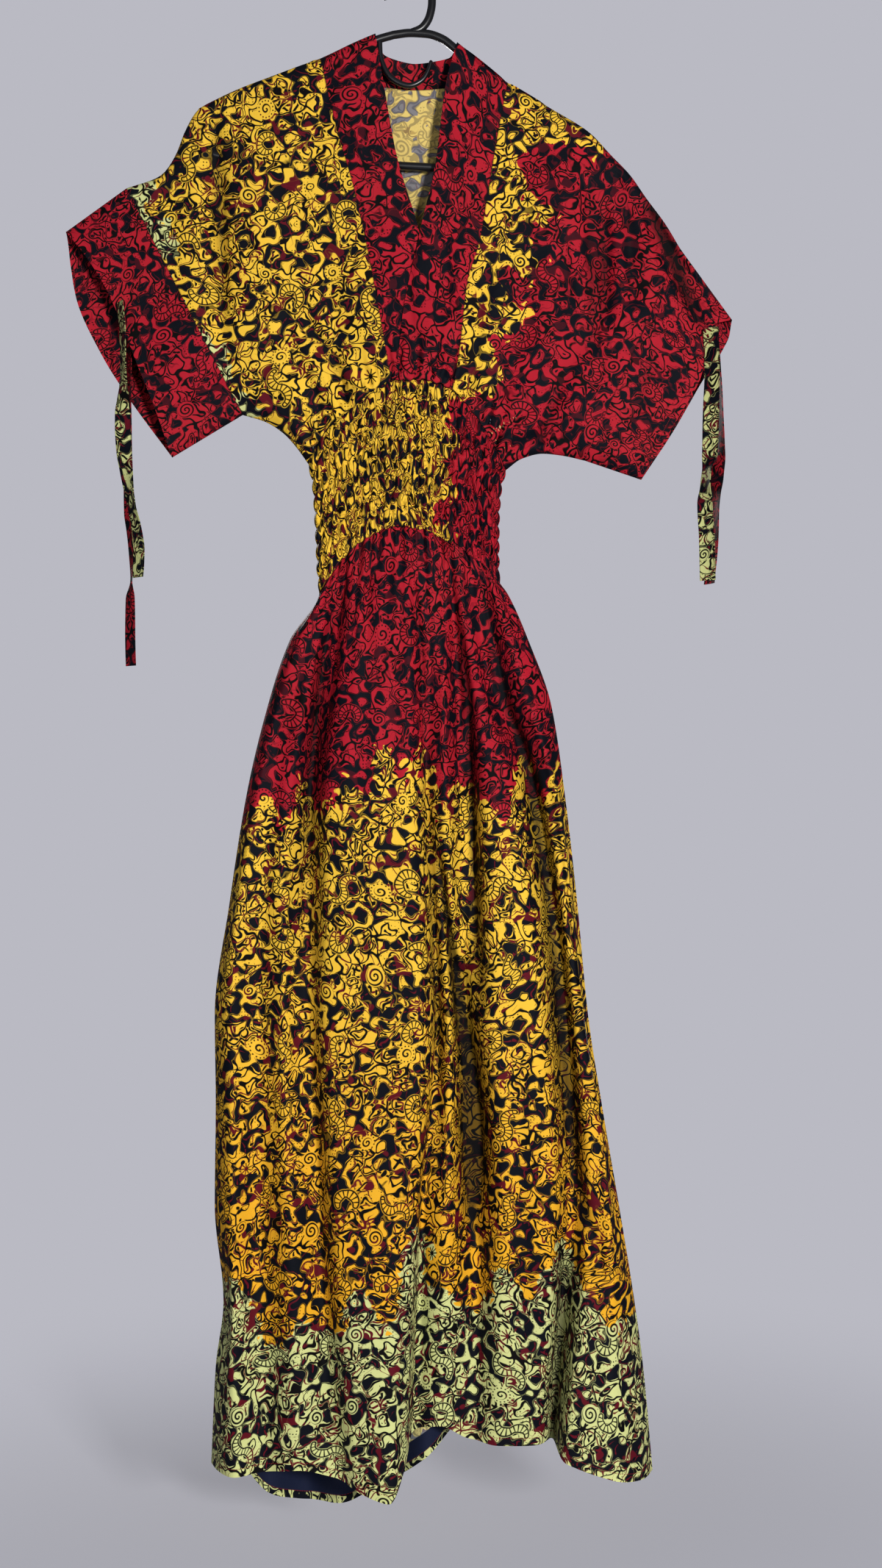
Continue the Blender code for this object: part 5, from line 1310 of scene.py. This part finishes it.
def make_waist(face):
    """The shirred panel: rows of elastic that pucker the cloth into small gathers. Each
    row's puff is the arch of a sine down the panel, crossed by pleats, a cosine along it."""
    front = 1 if face == "front" else -1
    seed = 100 if face == "front" else 140
    rows = ELASTIC_ROWS * PUFF_ROWS
    top, seam = waist_seam_points(WAIST_TOP[face]), waist_seam_points(WAIST_SEAM[face])
    top, seam = doubled(top), doubled(seam)
    down = np.linspace(0, 1, rows + 1)[:, None]
    drop = top[:, 1] + down * (seam[:, 1] - top[:, 1])
    left, right = waist_sides(drop)
    ruled = top[:, 0] + down * (seam[:, 0] - top[:, 0])
    across = 2 * (ruled - ruled[:, :1]) / (ruled[:, -1:] - ruled[:, :1]) - 1
    # the seams hold their own line, and the sides their outline between them
    hold = np.abs(2 * down - 1) ** SEAM_HOLD
    x = (left + right) / 2 + across * (right - left) / 2
    x = x + hold * (ruled - x)
    base = WAIST_DEPTH * np.sqrt(np.clip(1 - across ** 2, 0, 1))

    along = lengths(np.stack((top[:, 0], base[0]), axis=-1))
    t = down * ELASTIC_ROWS + 0.22 * wobble(along / 30, seed)[None, :] * np.sin(np.pi * down)
    puff = np.abs(np.sin(np.pi * t)) ** 0.8
    drift = 1.1 * np.sin(np.floor(t) * 2.4 + seed) + 1.3 * wobble(t / 1.7 + along / 90, seed + 1)
    turn = along * 2 * np.pi / PUCKER_PITCH + drift
    pleat = 0.5 + 0.5 * np.cos(turn)
    small = 0.5 + 0.5 * np.cos(along * 2 * np.pi / 5.3 - 1.7 * drift + 0.8 * t)
    uneven = 0.65 + 0.35 * rumple(along, t * 19, 21, seed + 2)
    within = ease(base / 8)
    relief = 4.2 * puff * pleat * uneven + 1.5 * puff * small + 1.2 * pleat - 0.9 * (1 - puff)
    relief = relief * within * (1 - 0.55 * hold)
    scallop = np.sign(across) * np.abs(across) ** SEAM_HOLD * 2.6 * (puff - 0.35)
    shear = 0.8 * wobble(t / 1.3 + along / 33, seed + 3) * within
    grid = place(x + (scallop + shear) * (1 - hold), drop, front * (base + relief + SEAM))

    # the cloth is wider than the panel, and most of it lies in the pleats' sides
    wide = 1.62 * (along - along[len(along) // 2]) + 6.2 * (turn - np.sin(turn)) / (2 * np.pi)
    uv = np.stack((wide, 1.1 * drop + 1.6 * np.sin(2 * np.pi * t)), axis=-1) * MM
    flat = seen(face, x, drop, base)
    red = -inside(flat, YELLOW_ON_WAIST) if face == "front" else inside(flat, RED_ON_BACK)
    # painted shade: the seam value falls in the grooves between the puffs, so the material darkens
    # the print there
    groove = ease(ease(1.2 - relief / 2.6) * (1 - puff) * 1.4)
    values = zones(red=red, seam=0.02 - 0.019 * groove)
    return shell("shirring_" + face, grid, front, uv, values, CLOTH_PAIR)


def fold_columns(folds, seam, rows):
    """x, distance out and drop of every fold line at every row."""
    seam, sides, rounding = (np.asarray(item, float) for item in (seam, SKIRT_SIDES, SIDE_ROUND))
    lines = []
    for _, seam_x, *stations, hem_drop in folds:
        seam_drop = float(smooth(seam[:, 0], seam[:, 1], np.array([seam_x]))[0])
        drop = seam_drop + rows * (hem_drop - seam_drop)
        knots = (seam_drop, *STATIONS, hem_drop)
        waist = float(waist_out(np.array([seam_x]), np.array([seam_drop]))[0])
        values = np.array([(seam_x, waist), *stations], float)
        lines.append(np.column_stack((smooth(knots, values, drop), drop)))
    pairs = []
    for end, column, hem_drop, inward in ((0, 1, SIDE_HEMS[0], 1), (-1, 2, SIDE_HEMS[1], -1)):
        drop = seam[end, 1] + rows * (hem_drop - seam[end, 1])
        x = smooth(sides[:, 0], sides[:, column], drop)
        turn = smooth(rounding[:, 0], rounding[:, 1], drop)
        edge = np.column_stack((x, 0 * x, drop))
        beside = np.column_stack((x + inward * SIDE_TURN[0] * turn, SIDE_TURN[1] * turn, drop))
        pairs.append([edge, beside][::inward])
    return np.stack(pairs[0] + lines + pairs[1], axis=1)


def along_rows(x, out):
    """Distance along each row of points: the sum of its steps so far."""
    steps = np.hypot(np.diff(x), np.diff(out))
    return np.concatenate((np.zeros((len(x), 1)), np.cumsum(steps, axis=1)), axis=1)


def make_skirt(face, folds):
    """A gathered panel from the waist seam to the hem. On the folds stand the gathers,
    cosines along the seam that die away with height, soft flutes and narrow valleys."""
    front = 1 if face == "front" else -1
    seed = 200 if face == "front" else 240
    rows = np.linspace(0, 1, SKIRT_ROWS) ** 1.12     # a little closer at the seam
    lines = fold_columns(folds, WAIST_SEAM[face], rows)
    steps = [0.0]
    for k, gap in enumerate(np.diff(lines[0, :, 0])):
        pieces = max(2, round(gap / COLUMN_WIDTH)) * SKIRT_SPLIT
        steps += [k + (piece + 1) / pieces for piece in range(pieces)]
    sections = smooth(np.arange(lines.shape[1]), lines.transpose(1, 0, 2), steps)
    x, out, drop = sections.transpose(2, 1, 0)
    drop[0] = np.interp(x[0], *waist_seam_points(WAIST_SEAM[face]).T)
    height = drop - drop[0]
    start = x[0]

    def cosine(sway, pitch, phase=0.0):
        return np.cos((start + sway) * 2 * np.pi / pitch + phase)

    sway = 2.4 * wobble(start / 24, seed) + 1.6 * wobble(start / 40 + height / 160, seed + 1)
    uneven = 0.65 + 0.35 * wobble(start / 15 + height / 300, seed + 3)
    gathers = 2.3 * cosine(sway, GATHER_PITCH) * uneven * np.exp(-height / 52)
    gathers += 0.8 * cosine(-1.3 * sway, 5.9, 1.2) * np.exp(-height / 22)
    gathers += 2.0 * cosine(2.2 * sway, 17, 0.5 * wobble(height / 120, seed + 2)) \
        * (0.7 + 0.3 * uneven) * np.exp(-height / 230)
    # below the gathers, soft flutes that follow the cloth's own columns
    share = along_rows(x, out)
    flute = np.cos(share[-1] * 2 * np.pi / 58 + 1.6 * wobble(share[-1] / 90, seed + 4)
                   + 0.8 * wobble(height / 260, seed + 5))
    gathers += 1.5 * flute * ease(height / 300) * (1 - 0.4 * rows[:, None])
    gathers += 0.5 * rumple(share, height * 0.4, 44, seed + 6) * ease(height / 80)
    shown = seen(face, x, drop, out)
    gathers += valleys(shown, "skirt_" + face)
    to_hem = (1 - rows[:, None]) * HEM_LENGTH + 0 * x
    gathers += 0.9 * (1 - ease(to_hem / 26)) * wobble(share[-1] / 13, seed + 7)
    out = out + gathers * ease(np.minimum(start - start[0], start[-1] - start) / GATHER_CLEAR)
    out[:, [0, -1]] = np.maximum(out[:, [0, -1]], 0)
    out[:, 1:-1] = np.maximum(out[:, 1:-1], 1.0)

    # near the seam the cloth's own width lies in the gathers' sides
    wide = along_rows(x, out)
    middle = int(np.argmin(np.abs(start)))
    turn = (start + sway) * 2 * np.pi / GATHER_PITCH
    wide = wide - wide[:, middle:middle + 1]
    wide = wide + 4.6 * np.exp(-height / 110) * (turn - np.sin(turn)) / (2 * np.pi)
    uv = np.stack((wide, drop), axis=-1) * MM
    flat = seen(face, x, drop, out)
    values = zones(red=inside(flat, RED_ON_SKIRT[face]), lime=inside(flat, LIME_ON_SKIRT[face]),
                   warm=ease((drop - ORANGE_FROM) / ORANGE_REACH), seam=height * MM,
                   stitch=(to_hem - HEM_STITCH) * MM, run=wide * MM, hem=to_hem * MM,
                   fold=fold_shade(shown, "skirt_" + face))
    return shell("skirt_cloth_" + face, place(x, drop, front * (out + SEAM)), front, uv, values,
                 CLOTH_PAIR)


# ---------------------------------------------------------------- the ties

def forward_at(grid, x, drop):
    """How far forward a grid's front surface is at one place, from its triangles: the
    place as a sum of two of a triangle's sides, s and t of them."""
    cells = grid / MM
    a, b = cells[:-1, :-1], cells[:-1, 1:]
    c, d = cells[1:, :-1], cells[1:, 1:]
    for p, q, r in ((a, b, c), (d, c, b)):
        u, v = q - p, r - p
        w = np.array((x, -drop)) - p[..., [0, 2]]
        area = u[..., 0] * v[..., 2] - u[..., 2] * v[..., 0]
        s = (w[..., 0] * v[..., 2] - w[..., 1] * v[..., 0]) / area
        t = (u[..., 0] * w[..., 1] - u[..., 2] * w[..., 0]) / area
        found = (s >= 0) & (t >= 0) & (s + t <= 1)
        if found.any():
            i = tuple(np.argwhere(found)[0])
            return -(p[i][1] + s[i] * u[i][1] + t[i] * v[i][1])
    return None


def make_tie(name):
    """A flat sewn strip that hangs from the sleeve mouth, turning as it falls: where it
    shows narrow, it leans by the arc cosine of that width over its own."""
    side = "left" if "left" in name else "right"
    is_front = name.endswith("front")
    ring, _ = cuff_grid(side, 1, CUFF_ROWS, False)
    fold = len(CUFF_STEPS)
    half = ring[:, :fold] if is_front else np.roll(ring, -fold + 1, axis=1)[:, :fold]
    table = np.array(TIES[name], float)
    reach = lengths(table[:, :2])
    frames = []
    for x, drop, width in smooth(reach, table, np.linspace(0, reach[-1], 2 * len(table) + 1)):
        lean = np.arccos(np.clip(width / TIE_WIDTH, 0.1, 1))
        half_x, half_y = TIE_WIDTH / 2 * np.cos(lean), TIE_WIDTH / 2 * np.sin(lean)
        found = [forward_at(half, x + k * half_x, drop) for k in (-1, 0, 1)]
        found = [surface for surface in found if surface is not None]
        if found:
            inner = max(found) + 0.3 + (0 if is_front else CLOTH)
            forward = inner + TIE_CLOTH * np.cos(lean) + half_y
        frames.append((x, drop, forward, half_x, half_y))
    rows = np.linspace(0, len(frames) - 1, (len(frames) - 1) * TIE_ROWS + 1)
    x, drop, forward, half_x, half_y = smooth(np.arange(len(frames)), frames, rows).T[:, :, None]

    k = np.linspace(-1, 1, 7)[None, :]
    seed = 300 + len(name) + (7 if is_front else 0)
    curl = 0.8 * (k ** 2) * wobble(rows / 5, seed)[:, None]
    buckle = 0.7 * wobble(rows / 2.3, seed + 1)[:, None] * np.cos(k * 1.6)
    along = lengths(np.stack((x[:, 0], drop[:, 0]), axis=-1))[:, None]
    off = (curl + buckle) * ease((along - 20) / 60) / np.hypot(half_x, half_y)
    grid = place(x + k * half_x + off * half_y, drop + 0 * k, forward + k * half_y - off * half_x)
    uv = np.stack((k * TIE_WIDTH / 2 + 0 * along, along + 0 * k), axis=-1) * MM
    red, lime = TIE_COLOURS[name]
    edge = (1 - np.abs(k)) * TIE_WIDTH / 2 * MM
    return shell(name + "_cloth", grid, 1, uv, zones(red=red, lime=lime, seam=edge),
                 thickness=CUFF_SHELL)


# ---------------------------------------------------------------- the hanger

def tube_mesh(path, radii, sides=24, is_loop=False):
    """Points and faces of a round tube along a path in the hanger's plane, closed to a
    ring, or with a round start and a flat end."""
    path = np.asarray(path, float)
    radii = np.broadcast_to(np.asarray(radii, float), len(path))
    if is_loop:
        run = np.roll(path, -1, axis=0) - np.roll(path, 1, axis=0)
    else:
        turn = np.linspace(0, np.pi / 2, 6)[1:, None]
        cap = path[0] + radii[0] * np.sin(turn) * unit(path[0] - path[1])
        radii = np.r_[(radii[0] * np.cos(turn[:, 0]) + 0.01)[::-1], radii]
        path = np.concatenate((cap[::-1], path))
        run = np.gradient(path, axis=0)
    run = unit(run)
    side = np.stack((run[:, 1], -run[:, 0]), axis=-1)
    angle = 2 * np.pi * np.arange(sides) / sides
    radii = radii[:, None]
    grid = place(path[:, :1] + radii * np.cos(angle) * side[:, :1],
                 path[:, 1:] + radii * np.cos(angle) * side[:, 1:], radii * np.sin(angle))
    index = np.arange(len(path) * sides).reshape(len(path), sides)
    ring = np.concatenate((index, index[:, :1]), axis=1)
    faces = quads(np.concatenate((ring, ring[:1])) if is_loop else ring).tolist()
    if not is_loop:
        faces += [index[0][::-1].tolist(), index[-1].tolist()]
    return grid.reshape(-1, 3), faces


def arm_path(side):
    """The arm's centre line: the shoulder outline moved in by cloth, seat and tube."""
    line = dense(OVERARM[side])
    run = unit(np.gradient(line, axis=0))
    inward = np.stack((-run[:, 1], run[:, 0]), axis=-1)
    inward *= np.sign(inward[:, 1:])
    path = line + (CLOTH + SEAT + TUBE) * inward
    return path[np.abs(line[:, 0]) <= ARM_REACH[side]][::4]


def make_hanger():
    """Frame, hook and accessory hook of the black tubular hanger."""
    left, right = arm_path("left"), arm_path("right")
    top = spread(np.concatenate((NECK_PATH, right, RIGHT_BEND[::-1])), np.linspace(0, 1, 96))
    bottom = spread(np.concatenate((LEFT_BEND[::-1], left[::-1], NECK_PATH[:1])),
                    np.linspace(0, 1, 90))[:-1]
    sweep = np.radians(np.linspace(HOOK_SWEEP, 0, 48))
    arc = np.stack((HOOK_RADIUS * np.cos(sweep),
                    HOOK_RADIUS - HOOK_TUBE - HOOK_RADIUS * np.sin(sweep)), axis=-1)
    stem = spread(np.concatenate((arc[-1:], STEM_PATH)), np.linspace(0, 1, 24))[1:]
    loop = spread(LOOP_PATH, np.linspace(0, 1, 50))
    radii = np.interp(np.linspace(0, 1, 50), np.linspace(0, 1, len(LOOP_RADII)), LOOP_RADII)
    points, faces = [], []
    for some, cells in (tube_mesh(np.concatenate((top, bottom)), TUBE, is_loop=True),
                        tube_mesh(np.concatenate((arc, stem)), HOOK_TUBE),
                        tube_mesh(loop[::-1], radii[::-1], sides=18)):
        faces += [[i + len(points) for i in cell] for cell in cells]
        points += some.tolist()
    mesh = bpy.data.meshes.new("hanger_moulding")
    mesh.from_pydata(points, [], faces)
    mesh.materials.append(PLASTIC)
    mesh.shade_smooth()
    return put("hanger_moulding", mesh)


# ---------------------------------------------------------------- floor, light and camera

def area_light(name, spot, target, size, power, colour):
    """A soft square light at a place, turned towards a target."""
    data = bpy.data.lights.new(name, "AREA")
    data.size, data.energy, data.color = size, power, linear(colour)[:3]
    lamp = put(name, data)
    lamp.location = spot
    aim = Vector(target) - Vector(spot)
    lamp.rotation_euler = aim.to_track_quat("-Z", "Y").to_euler()


def studio_floor(name):
    """Matt studio floor: no shine, and it fades into the world around it with distance."""
    made, node = new_material(name)
    spot = node("ShaderNodeNewGeometry", out="Position")
    away = node("V_LENGTH", node("V_MULTIPLY", spot, (1, 1, 0)), out="Value")
    fade = node("ShaderNodeMapRange", {"Value": away, "From Min": FLOOR_FADE[0],
                                       "From Max": FLOOR_FADE[1], "To Min": 1.0, "To Max": 0.0},
                interpolation_type="SMOOTHSTEP")
    surface(node, {"Base Color": BACKING, "Roughness": 0.9, "Specular IOR Level": 0.1,
                   "Alpha": fade})
    return made


def make_stage():
    """A pale floor below the hem, and a world that shows the same tone to the camera and
    lights the dress a little."""
    mesh = bpy.data.meshes.new("floor")
    corners = ((-1, -1), (1, -1), (1, 1), (-1, 1))
    mesh.from_pydata([(x * FLOOR_HALF, y * FLOOR_HALF, FLOOR) for x, y in corners], [],
                     [(0, 1, 2, 3)])
    mesh.materials.append(studio_floor("matt_studio_floor"))
    put("floor", mesh)
    world = bpy.data.worlds.new("studio")
    bpy.context.scene.world = world
    world.use_nodes = True
    world.node_tree.nodes.clear()
    node = partial(add_node, world.node_tree)
    is_seen = node("ShaderNodeLightPath", out="Is Camera Ray")
    mixed = node("ShaderNodeMixShader", is_seen, node("ShaderNodeBackground", SKY, WORLD_LIGHT),
                 node("ShaderNodeBackground", BACKING))
    node("ShaderNodeOutputWorld", mixed, out=None)


def make_camera():
    """Level with the middle of the frame, straight in front."""
    data = bpy.data.cameras.new("camera")
    data.sensor_fit = "VERTICAL"
    data.sensor_height = SENSOR
    data.lens = SENSOR * CAMERA_AWAY / FRAME_HEIGHT
    camera = put("camera", data)
    camera.location = (CAMERA_X, -CAMERA_AWAY, CAMERA_Z)
    camera.rotation_euler = (math.pi / 2, 0, 0)
    scene = bpy.context.scene
    scene.camera = camera
    scene.render.resolution_x, scene.render.resolution_y = PICTURE
    scene.view_settings.view_transform = "Standard"


# ---------------------------------------------------------------- assembly

def dress(piece, nodes):
    """Puts a piece on the body, in place of its solids."""
    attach(piece, "root")
    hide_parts(*nodes)


moulding = make_hanger()
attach(moulding, "root")
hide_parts("hanger")

front_left, front_right, back = make_front("left"), make_front("right"), make_back()
dress(front_left, ["bodice_front_left"])
dress(front_right, ["bodice_front_right"])
dress(back, ["bodice_back", "sleeve_back_left", "sleeve_back_right"])
for side, front in (("left", front_left), ("right", front_right)):
    dress(make_band_front(side), ["neckband_" + side])
    cuff = make_cuff(side)
    dress(cuff, ["cuff_" + side])
    for face, slot in (("front", LIME), ("back", RED)):
        tie = "tie_" + side + "_" + face
        dress(make_tie(tie), [tie])
dress(make_band_back(), ["neckband_back"])
for face, above, folds in (("front", front_left, FRONT_FOLDS), ("back", back, BACK_FOLDS)):
    shirring = make_waist(face)
    dress(shirring, ["waist_" + face])
    dress(make_skirt(face, folds), ["skirt_" + face])

make_stage()
make_camera()
for light in LIGHTS:
    area_light(*light)
